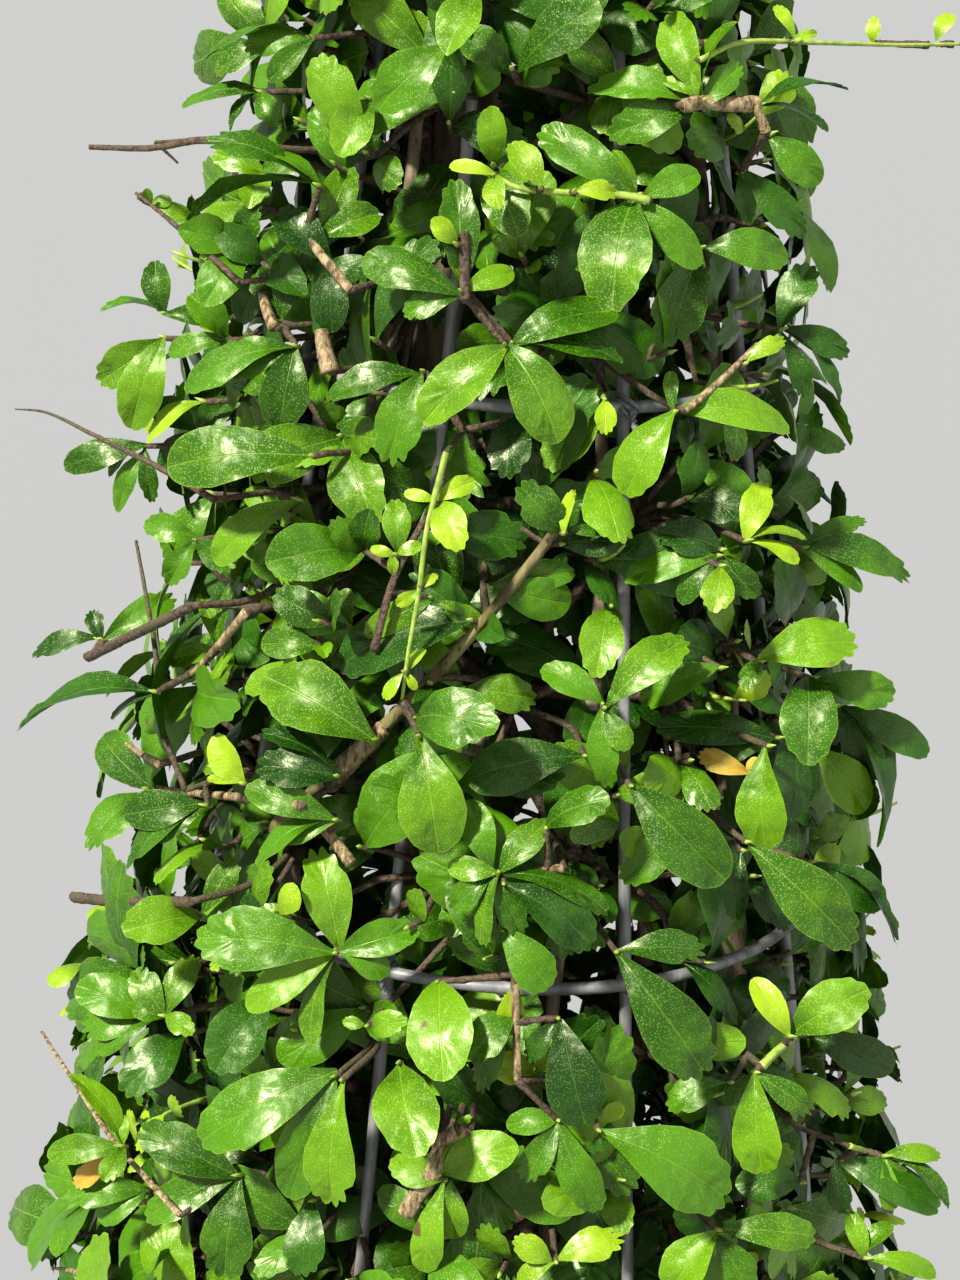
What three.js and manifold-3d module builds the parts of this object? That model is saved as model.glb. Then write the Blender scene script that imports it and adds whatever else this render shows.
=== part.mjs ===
// A cone-shaped topiary: a small-leaved evergreen shrub trained up inside a cone of grey wires, in a clay pot.
// Lengths are in millimetres and angles in radians. +Z is up, and the origin is the middle of the pot's flat
// underside. Azimuth 0 points to the front, which is -Y, with +X at a quarter turn.
import * as THREE from "three";
import { mergeVertices } from "three/addons/utils/BufferGeometryUtils.js";
import Module from "manifold-3d";

const wasm = await Module();
wasm.setup();

// Pot and potting soil
const POT_HEIGHT = 272;
const POT_BASE_RADIUS = 128;
const POT_TOP_RADIUS = 181;
const POT_WALL = 10;
const POT_FLOOR = 15;
const RIM_OVERHANG = 6;
const RIM_HEIGHT = 44;
const POT_SIDES = 24;
const SOIL_TOP = 239.7;
const DRAIN_HOLES = 4;
const DRAIN_RADIUS = 6;
const DRAIN_CIRCLE = 74;

// Wire frame: uprights on a cone, with rings tied round them
const WIRE_RADIUS = 2;
const WIRE_SIDES = 5;
const UPRIGHTS = 8;
const FIRST_UPRIGHT = degrees(21);
const APEX_HEIGHT = 1252;
const FRAME_TAPER = 0.155;
const LOWEST_RING = 247;
const RING_SPACING = 180;
const RINGS = 6;
const FRAME_TOP = 1207;
const UPRIGHT_STATIONS = 6;
const UPRIGHT_BEND = 1.6;
const COLLAR_HEIGHT = 10;
const COLLAR_WALL = 2.2;

// Trunk, leaders and boughs
const GROUND = 240;
const TRUNK_TOP = 1150;
const SWAY_ENDS_AT = 1235;
const TRUNK_SWAY = 34;
const TRUNK_SIDE = degrees(-80);
const TRUNK_FOOT_RADIUS = 15;
const TRUNK_TIP_RADIUS = 3;
const ROOT_FLARE = 10;
const FLARE_FADES_IN = 18;
const TRUNK_SIDES = 8;
const TRUNK_STATIONS = [0, 6, 14, 30, 60, 110, 180, 260, 340, 420, 500, 580, 660, 740, 830, 910];
const TRUNK_WANDER = 3.5;
const LEADER_SHARE = 0.86;
const LEADER_SPREAD = 190;
const LEADER_TIP_RADIUS = 1.8;
const LEADER_STATIONS = 10;
const LEADER_SIDES = 5;
const LEADER_WANDER = degrees(6);
const LEADER_WAVE = 62;
const LEADERS = [
  { name: "leader_front", azimuth: degrees(13), from: 268, to: 800, radius: 4.6 },
  { name: "leader_right", azimuth: degrees(63), from: 292, to: 905, radius: 6.6 },
  { name: "leader_back_right", azimuth: degrees(148), from: 306, to: 880, radius: 6.2 },
  { name: "leader_back_left", azimuth: degrees(212), from: 324, to: 860, radius: 6 },
  { name: "leader_left", azimuth: degrees(304), from: 344, to: 885, radius: 5.2 },
];
// Side boughs leave the trunk and end inside a foliage mass.
const BOUGH_RADIUS = 4.2;
const BOUGH_RISE = 46;
const BOUGH_ARCH = 9;
const BOUGH_STATIONS = 5;
const BOUGH_SIDES = 6;
const BOUGHS = [
  { azimuth: degrees(98), from: 440 },
  { azimuth: degrees(185), from: 500 },
  { azimuth: degrees(36), from: 625 },
  { azimuth: degrees(118), from: 690 },
  { azimuth: degrees(160), from: 815 },
  { azimuth: degrees(75), from: 855 },
];
// One bough leaves the left leader and crosses the front of the frame.
const CROSSING_RADIUS = 4.4;
const CROSSING_TIP_RADIUS = 1.4;
const CROSSING_FROM = 622;
const CROSSING_RISE = 150;
const CROSSING_TURN = degrees(74);
const CROSSING_STANDS_OUT = 15;
const CROSSING_STATIONS = 8;

// Crown
const CROWN_FOOT = 266;
const CROWN_TOP = 1288;
const TIP_FROM = 1132;
const CROWN_DEPTH = 42;
const CROWN_LEFT_EXTRA = 15;
const CORE_INNER_SHARE = 0.6;
const CORE_OUTER_SHARE = 0.78;
const CORE_INSET = 6;
const CORE_ROWS = 3;
const CORE_COLUMNS = 4;
const CORE_ROUGHNESS = 4;
// From the pot upwards, with the length of each tier's leaves
const TIERS = [
  { sectors: 4, first: degrees(88), rows: 3, columns: 3, leaf: 60, core: true },
  { sectors: 4, first: degrees(133), rows: 3, columns: 3, leaf: 60, core: true },
  { sectors: 3, first: degrees(50), rows: 3, columns: 3, leaf: 60, core: true },
  { sectors: 3, first: degrees(110), rows: 3, columns: 3, leaf: 54, core: true },
  { sectors: 3, first: degrees(50), rows: 3, columns: 2, leaf: 50, core: false },
];
const TIER_WAVE = 8;
const SECTOR_WAVE = degrees(4);
const SECTOR_WAVE_LENGTH = 55;
const CELL_MARGIN = 2.2;
const RIM_MARGIN = 4;
const LEAF_WIDTH_SHARE = 0.54;
const LEAF_WIDEST_AT = 0.68;
const LEAF_RIDGE = 1.5;
const LEAF_RIDGE_AT = 0.55;
const LEAF_DROOP = 0.05;
const LEAF_SUNK = 0.8;
const LEAVES_PER_ROSETTE = 5;
const LEAVES_SPACED = 4.2;
const ROSETTE_STANDS_OUT = 15;
const TWIG_FOOT_RADIUS = 3;
const TWIG_TIP_RADIUS = 2.6;
const STEM_RADIUS = 3.4;
const STEM_DROP = 25;
const TWIG_DROP = 10;
const TWIG_FROM_EDGE = 22;
const TWIG_ROOT_SHARE = 0.71;
const OPEN_HUB_SHARE = 0.62;
const SHORTEST_HOLD = 40;
const LEAVES_APART = 11;
// A leaf that finds no room is tried again: how much shorter, how much steeper, and how far round the twig
const LEAF_TRIES = [
  [1, 0, 0],
  [1, 0.15, 0.7],
  [0.88, 0.3, -0.6],
  [0.8, 0.5, 0],
  [0.72, 0.9, 0.4],
];
const TWIG_TRIES = [0, degrees(5), degrees(-5), degrees(10)];

// The tip: twigs through every second gap between the uprights, and above the collar
const TIP_LEAF = 44;
const TIP_STEM_RADIUS = 2.6;
const TIP_TWIG_RADIUS = 1.6;
const TIP_TWIGS = [
  { height: 1156, reach: 12, leaves: 4, firstGap: 0 },
  { height: 1176, reach: 10, leaves: 4, firstGap: 1 },
  { height: 1222, reach: 8, leaves: 2, firstGap: 0 },
];

// Shoots that grow out past the clipped face: height and azimuth of the tip, and how far it passes the frame
const LONG_SHOOTS = [
  { height: 700, azimuth: degrees(-88), reach: 62 },
  { height: 772, azimuth: degrees(-84), reach: 60 },
  { height: 850, azimuth: degrees(-97), reach: 58 },
  { height: 915, azimuth: degrees(84), reach: 88 },
  { height: 500, azimuth: degrees(-92), reach: 44 },
  { height: 480, azimuth: degrees(150), reach: 46 },
  { height: 730, azimuth: degrees(170), reach: 48 },
  { height: 1010, azimuth: degrees(-140), reach: 46 },
];

const CLEARANCE = 0.3;
const LEAF_CLEARANCE = 1;
const LEAST_TOUCH = 1e-6;
const GOLDEN_ANGLE = Math.PI * (3 - Math.sqrt(5));
const UP = new THREE.Vector3(0, 0, 1);

const LEAF_GREEN = new THREE.MeshStandardMaterial({ color: 0x3d8a22, roughness: 0.42, metalness: 0 });
const BARK = new THREE.MeshStandardMaterial({ color: 0x8a7862, roughness: 0.9, metalness: 0 });
const WIRE = new THREE.MeshStandardMaterial({ color: 0x9a9c9c, roughness: 0.5, metalness: 0.3 });
const CLAY = new THREE.MeshStandardMaterial({ color: 0xb5633f, roughness: 0.88, metalness: 0 });
const SOIL = new THREE.MeshStandardMaterial({ color: 0x3a2b20, roughness: 1, metalness: 0 });

function degrees(angle) {
  return (angle * Math.PI) / 180;
}

// A repeatable stream of numbers from 0 to 1.
function randomStream(seed) {
  let state = seed >>> 0;
  return () => {
    state = (state + 0x6d2b79f5) >>> 0;
    let t = state;
    t = Math.imul(t ^ (t >>> 15), t | 1);
    t ^= t + Math.imul(t ^ (t >>> 7), t | 61);
    return ((t ^ (t >>> 14)) >>> 0) / 4294967296;
  };
}

function smoothstep(value) {
  const t = THREE.MathUtils.clamp(value, 0, 1);
  return t * t * (3 - 2 * t);
}

function frameRadius(height) {
  return FRAME_TAPER * (APEX_HEIGHT - height);
}

function outward(azimuth) {
  return new THREE.Vector3(Math.sin(azimuth), -Math.cos(azimuth), 0);
}

function around(azimuth) {
  return new THREE.Vector3(Math.cos(azimuth), Math.sin(azimuth), 0);
}

function placed(azimuth, radius, height) {
  return outward(azimuth).multiplyScalar(radius).setZ(height);
}

// Depth of foliage outside the wires, deeper on the left side and thinner near the tip.
function crownDepth(azimuth, height) {
  const fade = smoothstep((CROWN_TOP + 60 - height) / 420);
  return (CROWN_DEPTH - CROWN_LEFT_EXTRA * Math.sin(azimuth)) * (0.55 + 0.45 * fade);
}

function solidOf(geometry) {
  const bare = geometry.clone();
  bare.deleteAttribute("normal");
  bare.deleteAttribute("uv");
  const merged = mergeVertices(bare, 1e-4);
  const mesh = new wasm.Mesh({
    numProp: 3,
    vertProperties: merged.attributes.position.array,
    triVerts: new Uint32Array(merged.index.array),
  });
  return new wasm.Manifold(mesh);
}

function geometryOf(solid) {
  const mesh = solid.getMesh();
  const geometry = new THREE.BufferGeometry();
  geometry.setAttribute("position", new THREE.BufferAttribute(new Float32Array(mesh.vertProperties), 3));
  geometry.setIndex(new THREE.BufferAttribute(new Uint32Array(mesh.triVerts), 1));
  geometry.computeVertexNormals();
  return geometry;
}

function closedGeometry(points, triangles) {
  const geometry = new THREE.BufferGeometry();
  geometry.setAttribute("position", new THREE.Float32BufferAttribute(points.flatMap((p) => p.toArray()), 3));
  geometry.setIndex(triangles.flat());
  return geometry;
}

// A round limb along points, with one radius at each point. Its ends are flat.
function limbGeometry(points, radii, sides) {
  const rings = [];
  points.forEach((point, i) => {
    const before = points[Math.max(0, i - 1)];
    const after = points[Math.min(points.length - 1, i + 1)];
    const along = after.clone().sub(before).normalize();
    const reference = Math.abs(along.z) > 0.8 ? new THREE.Vector3(0, 1, 0) : UP;
    const across = new THREE.Vector3().crossVectors(reference, along).normalize();
    const third = new THREE.Vector3().crossVectors(along, across);
    for (let k = 0; k < sides; k++) {
      const turn = (2 * Math.PI * k) / sides;
      rings.push(
        point
          .clone()
          .addScaledVector(across, radii[i] * Math.cos(turn))
          .addScaledVector(third, radii[i] * Math.sin(turn)),
      );
    }
  });
  const triangles = [];
  for (let i = 0; i + 1 < points.length; i++) {
    for (let k = 0; k < sides; k++) {
      const a = i * sides + k;
      const b = i * sides + ((k + 1) % sides);
      triangles.push([a, b, b + sides], [a, b + sides, a + sides]);
    }
  }
  const last = (points.length - 1) * sides;
  for (let k = 1; k + 1 < sides; k++) {
    triangles.push([0, k + 1, k], [last, last + k, last + k + 1]);
  }
  return closedGeometry(rings, triangles);
}

// A limb keeps its line, so that it can be made again a little fatter, to cut its neighbours clear.
function limb(name, points, radii, sides) {
  return {
    name,
    points,
    radii,
    solid: solidOf(limbGeometry(points, radii, sides)),
    grown: (extra) => solidOf(limbGeometry(points, radii.map((r) => r + extra), sides)),
  };
}

function alongLimb(made, height) {
  const after = made.points.findIndex((p) => p.z >= height);
  if (after <= 0) return made.points.at(after).clone();
  const a = made.points[after - 1];
  const b = made.points[after];
  return a.clone().lerp(b, (height - a.z) / (b.z - a.z));
}

// Stations from 0 to 1 with both ends.
function stations(count) {
  return Array.from({ length: count }, (_, i) => i / (count - 1));
}

function makePot() {
  const rimUnder = POT_HEIGHT - RIM_HEIGHT;
  const wallAt = (height) => THREE.MathUtils.mapLinear(height, 0, POT_HEIGHT, POT_BASE_RADIUS, POT_TOP_RADIUS);
  const profile = [
    [0, 0],
    [POT_BASE_RADIUS, 0],
    [wallAt(rimUnder), rimUnder],
    [POT_TOP_RADIUS + RIM_OVERHANG, rimUnder],
    [POT_TOP_RADIUS + RIM_OVERHANG + 2, POT_HEIGHT - 4],
    [POT_TOP_RADIUS + RIM_OVERHANG - 2, POT_HEIGHT],
    [POT_TOP_RADIUS - POT_WALL, POT_HEIGHT],
    [wallAt(POT_FLOOR) - POT_WALL, POT_FLOOR],
    [0, POT_FLOOR],
  ].map(([r, z]) => new THREE.Vector2(r, z));
  const lathe = new THREE.LatheGeometry(profile, POT_SIDES).rotateX(Math.PI / 2);
  let pot = solidOf(lathe);
  for (let k = 0; k < DRAIN_HOLES; k++) {
    const hole = new THREE.CylinderGeometry(DRAIN_RADIUS, DRAIN_RADIUS, 3 * POT_FLOOR, 10).rotateX(Math.PI / 2);
    const turn = (2 * Math.PI * (k + 0.5)) / DRAIN_HOLES;
    hole.translate(DRAIN_CIRCLE * Math.cos(turn), DRAIN_CIRCLE * Math.sin(turn), 0);
    pot = pot.subtract(solidOf(hole));
  }
  return pot;
}

function makeSoil() {
  const insideAt = (height) =>
    THREE.MathUtils.mapLinear(height, 0, POT_HEIGHT, POT_BASE_RADIUS, POT_TOP_RADIUS) - POT_WALL - 1;
  const bottom = POT_FLOOR + CLEARANCE;
  const profile = [
    [0, bottom],
    [insideAt(bottom), bottom],
    [insideAt(SOIL_TOP), SOIL_TOP],
    [0, SOIL_TOP],
  ].map(([r, z]) => new THREE.Vector2(r, z));
  return solidOf(new THREE.LatheGeometry(profile, POT_SIDES).rotateX(Math.PI / 2));
}

// A wire extruded along its line, which can be made again a little fatter.
function wire(name, points) {
  const line = new THREE.CatmullRomCurve3(points);
  const made = (radius) => {
    const corners = stations(WIRE_SIDES + 1).map((t) => {
      return new THREE.Vector2(radius * Math.cos(2 * Math.PI * t), radius * Math.sin(2 * Math.PI * t));
    });
    const section = new THREE.Shape(corners.slice(1));
    const options = { steps: points.length - 1, bevelEnabled: false, extrudePath: line };
    return solidOf(new THREE.ExtrudeGeometry(section, options));
  };
  return { name, solid: made(WIRE_RADIUS), grown: (extra) => made(WIRE_RADIUS + extra) };
}

// An upright wire follows the cone, bent a little by hand between its ends.
function makeUpright(index) {
  const random = randomStream(40 + index);
  const azimuth = uprightAzimuth(index);
  const points = stations(UPRIGHT_STATIONS).map((t) => {
    const height = THREE.MathUtils.lerp(GROUND, FRAME_TOP, t);
    const loose = Math.sin(Math.PI * t) * UPRIGHT_BEND;
    return placed(azimuth, frameRadius(height), height)
      .addScaledVector(around(azimuth), loose * (2 * random() - 1))
      .addScaledVector(outward(azimuth), -loose * random());
  });
  return wire("wire_upright_" + (index + 1), points);
}

function uprightAzimuth(index) {
  return FIRST_UPRIGHT + (2 * Math.PI * index) / UPRIGHTS;
}

function ringHeight(index) {
  return LOWEST_RING + RING_SPACING * index;
}

// A ring lies against the outside of the uprights, with a corner at each.
function makeRing(index, extra = 0) {
  const radius = frameRadius(ringHeight(index)) + 2 * WIRE_RADIUS + CLEARANCE;
  const segments = UPRIGHTS * Math.round(1.25 + radius / 64);
  const thick = WIRE_RADIUS + extra;
  const section = stations(WIRE_SIDES + 1).map((t) => {
    const turn = 2 * Math.PI * t;
    return new THREE.Vector2(radius + thick * Math.cos(turn), thick * Math.sin(turn));
  });
  section[WIRE_SIDES].copy(section[0]);
  const lathe = new THREE.LatheGeometry(section, segments).rotateX(Math.PI / 2).rotateZ(FIRST_UPRIGHT);
  return solidOf(lathe.translate(0, 0, ringHeight(index)));
}

// The band that gathers the tops of the uprights.
function makeCollar() {
  const bottom = FRAME_TOP - COLLAR_HEIGHT;
  const inner = frameRadius(bottom) + WIRE_RADIUS + CLEARANCE;
  const profile = [
    [inner, bottom],
    [inner + COLLAR_WALL, bottom],
    [inner + COLLAR_WALL, FRAME_TOP],
    [inner, FRAME_TOP],
    [inner, bottom],
  ].map(([r, z]) => new THREE.Vector2(r, z));
  return solidOf(new THREE.LatheGeometry(profile, 16).rotateX(Math.PI / 2));
}

// The middle of the trunk at a height: it sways to one side and back, and wanders a little.
function trunkCentre(height) {
  const turn = Math.PI * THREE.MathUtils.clamp((height - GROUND) / (SWAY_ENDS_AT - GROUND), 0, 1);
  const sway = TRUNK_SWAY * Math.pow(Math.sin(turn), 1.3);
  const wander = TRUNK_WANDER * Math.sin(5 * turn) * Math.sin(turn);
  return placed(TRUNK_SIDE, sway, height).addScaledVector(around(TRUNK_SIDE), wander);
}

function makeTrunk() {
  const heights = TRUNK_STATIONS.map((h) => GROUND + h);
  const radii = heights.map((height) => {
    const t = (height - GROUND) / (TRUNK_TOP - GROUND);
    const flare = ROOT_FLARE * Math.exp(-(height - GROUND) / FLARE_FADES_IN);
    return THREE.MathUtils.lerp(TRUNK_FOOT_RADIUS, TRUNK_TIP_RADIUS, t) + flare;
  });
  const points = heights.map(trunkCentre);
  points[1].setX(points[0].x).setY(points[0].y); // keeps the foot's cut level
  return limb("trunk", points, radii, TRUNK_SIDES);
}

// A leader leaves the trunk, reaches the inside of the wires and climbs there.
function makeLeader({ name, azimuth, from, to, radius }) {
  const points = stations(LEADER_STATIONS).map((t) => {
    const height = THREE.MathUtils.lerp(from, to, t);
    const turn = azimuth + LEADER_WANDER * Math.sin((height - from) / LEADER_WAVE);
    const own = placed(turn, LEADER_SHARE * frameRadius(height), height);
    const start = trunkCentre(from).setZ(height);
    return start.lerp(own, smoothstep((height - from) / LEADER_SPREAD));
  });
  const radii = stations(LEADER_STATIONS).map((t) => THREE.MathUtils.lerp(radius, LEADER_TIP_RADIUS, t));
  return limb(name, points, radii, LEADER_SIDES);
}

function makeBough({ azimuth, from }, index) {
  const end = from + BOUGH_RISE;
  const tip = placed(azimuth, 0.5 * (CORE_INNER_SHARE + CORE_OUTER_SHARE) * frameRadius(end), end);
  const start = trunkCentre(from);
  const points = stations(BOUGH_STATIONS).map((t) => {
    const point = start.clone().lerp(tip, t);
    point.z += BOUGH_ARCH * Math.sin(Math.PI * t);
    return point;
  });
  const radii = stations(BOUGH_STATIONS).map((t) => THREE.MathUtils.lerp(BOUGH_RADIUS, 0.5 * BOUGH_RADIUS, t));
  return limb("bough_" + (index + 1), points, radii, BOUGH_SIDES);
}

function makeCrossingBough(leader) {
  const start = alongLimb(leader, CROSSING_FROM);
  const startAzimuth = Math.atan2(start.x, -start.y);
  const startRadius = Math.hypot(start.x, start.y);
  const points = stations(CROSSING_STATIONS).map((t) => {
    const height = CROSSING_FROM + CROSSING_RISE * Math.pow(t, 1.15);
    const outside = frameRadius(height) + CROSSING_STANDS_OUT;
    const radius = THREE.MathUtils.lerp(startRadius, outside, smoothstep(4 * t));
    return placed(startAzimuth + CROSSING_TURN * t, radius, height);
  });
  const radii = stations(CROSSING_STATIONS).map((t) => {
    return THREE.MathUtils.lerp(CROSSING_RADIUS, CROSSING_TIP_RADIUS, t);
  });
  return limb("bough_crossing_front", points, radii, BOUGH_SIDES);
}

// The edges of a mass's own space wave a little, so that no straight seam shows.
function tierEdge(tier, azimuth) {
  if (tier === 0) return CROWN_FOOT;
  if (tier > TIERS.length) return CROWN_TOP;
  const height = tier === TIERS.length ? TIP_FROM : ringHeight(tier);
  return height + TIER_WAVE * Math.sin(3 * azimuth + 1.7 * tier);
}

function sectorEdge(tier, sector, height) {
  const { sectors, first } = TIERS[tier];
  const wave = Math.sin(height / SECTOR_WAVE_LENGTH + (sector % sectors));
  return first + (2 * Math.PI * sector) / sectors + SECTOR_WAVE * wave;
}

function sectorMiddle(cell, height) {
  return 0.5 * (sectorEdge(cell.tier, cell.sector, height) + sectorEdge(cell.tier, cell.sector + 1, height));
}

function insideCell(cell, point, margin) {
  const radius = Math.hypot(point.x, point.y);
  const azimuth = Math.atan2(point.x, -point.y);
  if (point.z < tierEdge(cell.tier, azimuth) + margin) return false;
  if (point.z > tierEdge(cell.tier + 1, azimuth) - margin) return false;
  if (point.z < POT_HEIGHT + RIM_MARGIN && radius > POT_TOP_RADIUS - POT_WALL - RIM_MARGIN) return false;
  if (!cell.sectors) return true;
  const slack = margin / Math.max(radius, 1);
  const low = sectorEdge(cell.tier, cell.sector, point.z) + slack;
  const high = sectorEdge(cell.tier, cell.sector + 1, point.z) - slack;
  const turns = Math.ceil((low - azimuth) / (2 * Math.PI));
  return azimuth + 2 * Math.PI * turns < high;
}

// A kite-shaped blade, widest past its middle, with a low ridge along its upper side and a tip that droops.
function leafSolid(base, along, facing, length) {
  const across = new THREE.Vector3().crossVectors(along, facing).normalize();
  const half = 0.5 * LEAF_WIDTH_SHARE * length;
  const at = (share, side, lift) =>
    base
      .clone()
      .addScaledVector(along, share * length)
      .addScaledVector(across, side * half)
      .addScaledVector(facing, lift);
  const root = at(-LEAF_SUNK / length, 0, 0);
  const left = at(LEAF_WIDEST_AT, -1, 0);
  const tip = at(1, 0, -LEAF_DROOP * length);
  const right = at(LEAF_WIDEST_AT, 1, 0);
  const ridge = at(LEAF_RIDGE_AT, 0, LEAF_RIDGE);
  const faces = [
    [1, 0, 4],
    [2, 1, 4],
    [3, 2, 4],
    [0, 3, 4],
    [0, 1, 3],
    [1, 2, 3],
  ];
  const solid = solidOf(closedGeometry([root, left, tip, right, ridge], faces));
  return { solid, outline: [left, tip, right], middle: at(0.5, 0, 0) };
}

function touches(solid, obstacles) {
  return solid.intersect(obstacles).volume() > LEAST_TOUCH;
}

// A shell of a mass's own space just inside the wires, wavy on its face.
function makeCore(cell, random) {
  const rows = CORE_ROWS;
  const columns = CORE_COLUMNS;
  const layers = [CORE_INNER_SHARE, CORE_OUTER_SHARE].map((share, layer) =>
    stations(rows).map((v) =>
      stations(columns).map((u) => {
        const rough = layer * CORE_ROUGHNESS * (random() - 0.75);
        const guess = THREE.MathUtils.lerp(tierEdge(cell.tier, 0), tierEdge(cell.tier + 1, 0), v);
        const inset = CORE_INSET / (share * frameRadius(guess));
        const low = sectorEdge(cell.tier, cell.sector, guess) + inset;
        const high = sectorEdge(cell.tier, cell.sector + 1, guess) - inset;
        const azimuth = THREE.MathUtils.lerp(low, high, u);
        const bottom = tierEdge(cell.tier, azimuth) + CORE_INSET;
        const top = tierEdge(cell.tier + 1, azimuth) - CORE_INSET;
        const height = THREE.MathUtils.lerp(bottom, top, v);
        return placed(azimuth, share * frameRadius(height) + rough, height);
      }),
    ),
  );
  const points = layers.flat(2);
  const at = (layer, v, u) => (layer * rows + v) * columns + u;
  const triangles = [];
  const quad = (a, b, c, d) => triangles.push([a, b, c], [a, c, d]);
  for (let v = 0; v + 1 < rows; v++) {
    for (let u = 0; u + 1 < columns; u++) {
      quad(at(1, v, u), at(1, v, u + 1), at(1, v + 1, u + 1), at(1, v + 1, u));
      quad(at(0, v, u), at(0, v + 1, u), at(0, v + 1, u + 1), at(0, v, u + 1));
    }
    quad(at(0, v, 0), at(1, v, 0), at(1, v + 1, 0), at(0, v + 1, 0));
    quad(at(1, v, columns - 1), at(0, v, columns - 1), at(0, v + 1, columns - 1), at(1, v + 1, columns - 1));
  }
  for (let u = 0; u + 1 < columns; u++) {
    quad(at(0, 0, u), at(0, 0, u + 1), at(1, 0, u + 1), at(1, 0, u));
    quad(at(1, rows - 1, u), at(1, rows - 1, u + 1), at(0, rows - 1, u + 1), at(0, rows - 1, u));
  }
  return solidOf(closedGeometry(points, triangles));
}

function straightTwig(from, to, footRadius, tipRadius) {
  return solidOf(limbGeometry([from, to], [footRadius, tipRadius], 3));
}

// A star of leaves round the last stretch of a twig. A leaf that would leave the cell, or touch a limb, a wire
// or another leaf, is turned up and shortened, and then left out.
function addRosette(cell, twigFoot, node, axis, count, obstacles, taken, random) {
  const alongTwig = node.clone().sub(twigFoot).normalize();
  const side = new THREE.Vector3().crossVectors(axis, UP).normalize();
  const other = new THREE.Vector3().crossVectors(side, axis);
  const found = [];
  const firstTurn = 2 * Math.PI * random();
  for (let k = 0; k < count; k++) {
    const length = cell.leaf * (0.82 + 0.3 * random());
    const lift = 0.28 + 0.3 * random();
    const root = node.clone().addScaledVector(alongTwig, -LEAVES_SPACED * (k + 0.6));
    for (const [shorter, steeper, turned] of LEAF_TRIES) {
      const turn = firstTurn + k * GOLDEN_ANGLE + turned;
      const spread = side.clone().multiplyScalar(Math.cos(turn)).addScaledVector(other, Math.sin(turn));
      const along = spread.addScaledVector(axis, lift + steeper).normalize();
      const facing = axis.clone().addScaledVector(along, -axis.dot(along)).normalize();
      const leaf = leafSolid(root, along, facing, shorter * length);
      const inside = leaf.outline.every((p) => insideCell(cell, p, CELL_MARGIN));
      const samples = [...leaf.outline, leaf.middle];
      const clear = samples.every((p) => taken.points.every((q) => p.distanceTo(q) > LEAVES_APART));
      if (inside && clear && !touches(leaf.solid, taken.solid) && !touches(leaf.solid, obstacles)) {
        taken.points.push(...samples);
        taken.solid = taken.solid.add(leaf.solid);
        found.push(leaf.solid);
        break;
      }
    }
  }
  return found;
}

// Where the twigs of a cell carry their rosettes: a jittered grid over the outside of the cell.
function rosettePlaces(cell, random) {
  const { rows, columns } = TIERS[cell.tier];
  const places = [];
  for (let row = 0; row < rows; row++) {
    for (let column = 0; column < columns; column++) {
      const v = (row + 0.5 + 0.3 * (random() - 0.5)) / rows;
      const u = (column + 0.5 + (row % 2 ? 0.14 : -0.14) + 0.24 * (random() - 0.5)) / columns;
      const height = THREE.MathUtils.lerp(tierEdge(cell.tier, 0), tierEdge(cell.tier + 1, 0), v);
      const low = sectorEdge(cell.tier, cell.sector, height);
      const high = sectorEdge(cell.tier, cell.sector + 1, height);
      places.push({ azimuth: THREE.MathUtils.lerp(low, high, u), height, reach: 0 });
    }
  }
  const longShoots = LONG_SHOOTS.filter(({ azimuth, height }) => {
    return insideCell(cell, placed(azimuth, frameRadius(height), height), 0);
  });
  return [...places, ...longShoots];
}

// The nearest limb that runs past a height, as the point on it.
function limbNear(cell, limbs, height) {
  const target = placed(sectorMiddle(cell, height), CORE_OUTER_SHARE * frameRadius(height), height);
  const points = limbs
    .filter((made) => made.points[0].z < height - SHORTEST_HOLD && made.points.at(-1).z > height + TWIG_DROP)
    .map((made) => alongLimb(made, height));
  return points.sort((a, b) => a.distanceTo(target) - b.distanceTo(target))[0];
}

// Grows one twig with its rosette at a place, or none where a limb or a wire is in the way on every try.
function growTwig(cell, hub, place, obstacles, taken, random) {
  const low = tierEdge(cell.tier, 0) + TWIG_FROM_EDGE;
  const high = tierEdge(cell.tier + 1, 0) - TWIG_FROM_EDGE;
  const rootHeight = THREE.MathUtils.clamp(place.height - TWIG_DROP, low, high);
  for (const turned of TWIG_TRIES) {
    const azimuth = place.azimuth + turned;
    const depth = crownDepth(azimuth, place.height) / CROWN_DEPTH;
    const stands = place.reach || ROSETTE_STANDS_OUT * depth + 5 * (random() - 0.5);
    const node = placed(azimuth, frameRadius(place.height) + stands, place.height);
    const root = cell.core ? placed(azimuth, TWIG_ROOT_SHARE * frameRadius(rootHeight), rootHeight) : hub;
    const twig = straightTwig(root, node, TWIG_FOOT_RADIUS, TWIG_TIP_RADIUS);
    if (touches(twig, obstacles)) continue;
    const lean = outward(azimuth).addScaledVector(UP, 0.25 + 0.3 * (random() - 0.5));
    lean.addScaledVector(around(azimuth), 0.4 * (random() - 0.5)).normalize();
    const leaves = addRosette(cell, root, node, lean, LEAVES_PER_ROSETTE, obstacles, taken, random);
    return leaves.length ? [twig, ...leaves] : [];
  }
  return [];
}

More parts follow.
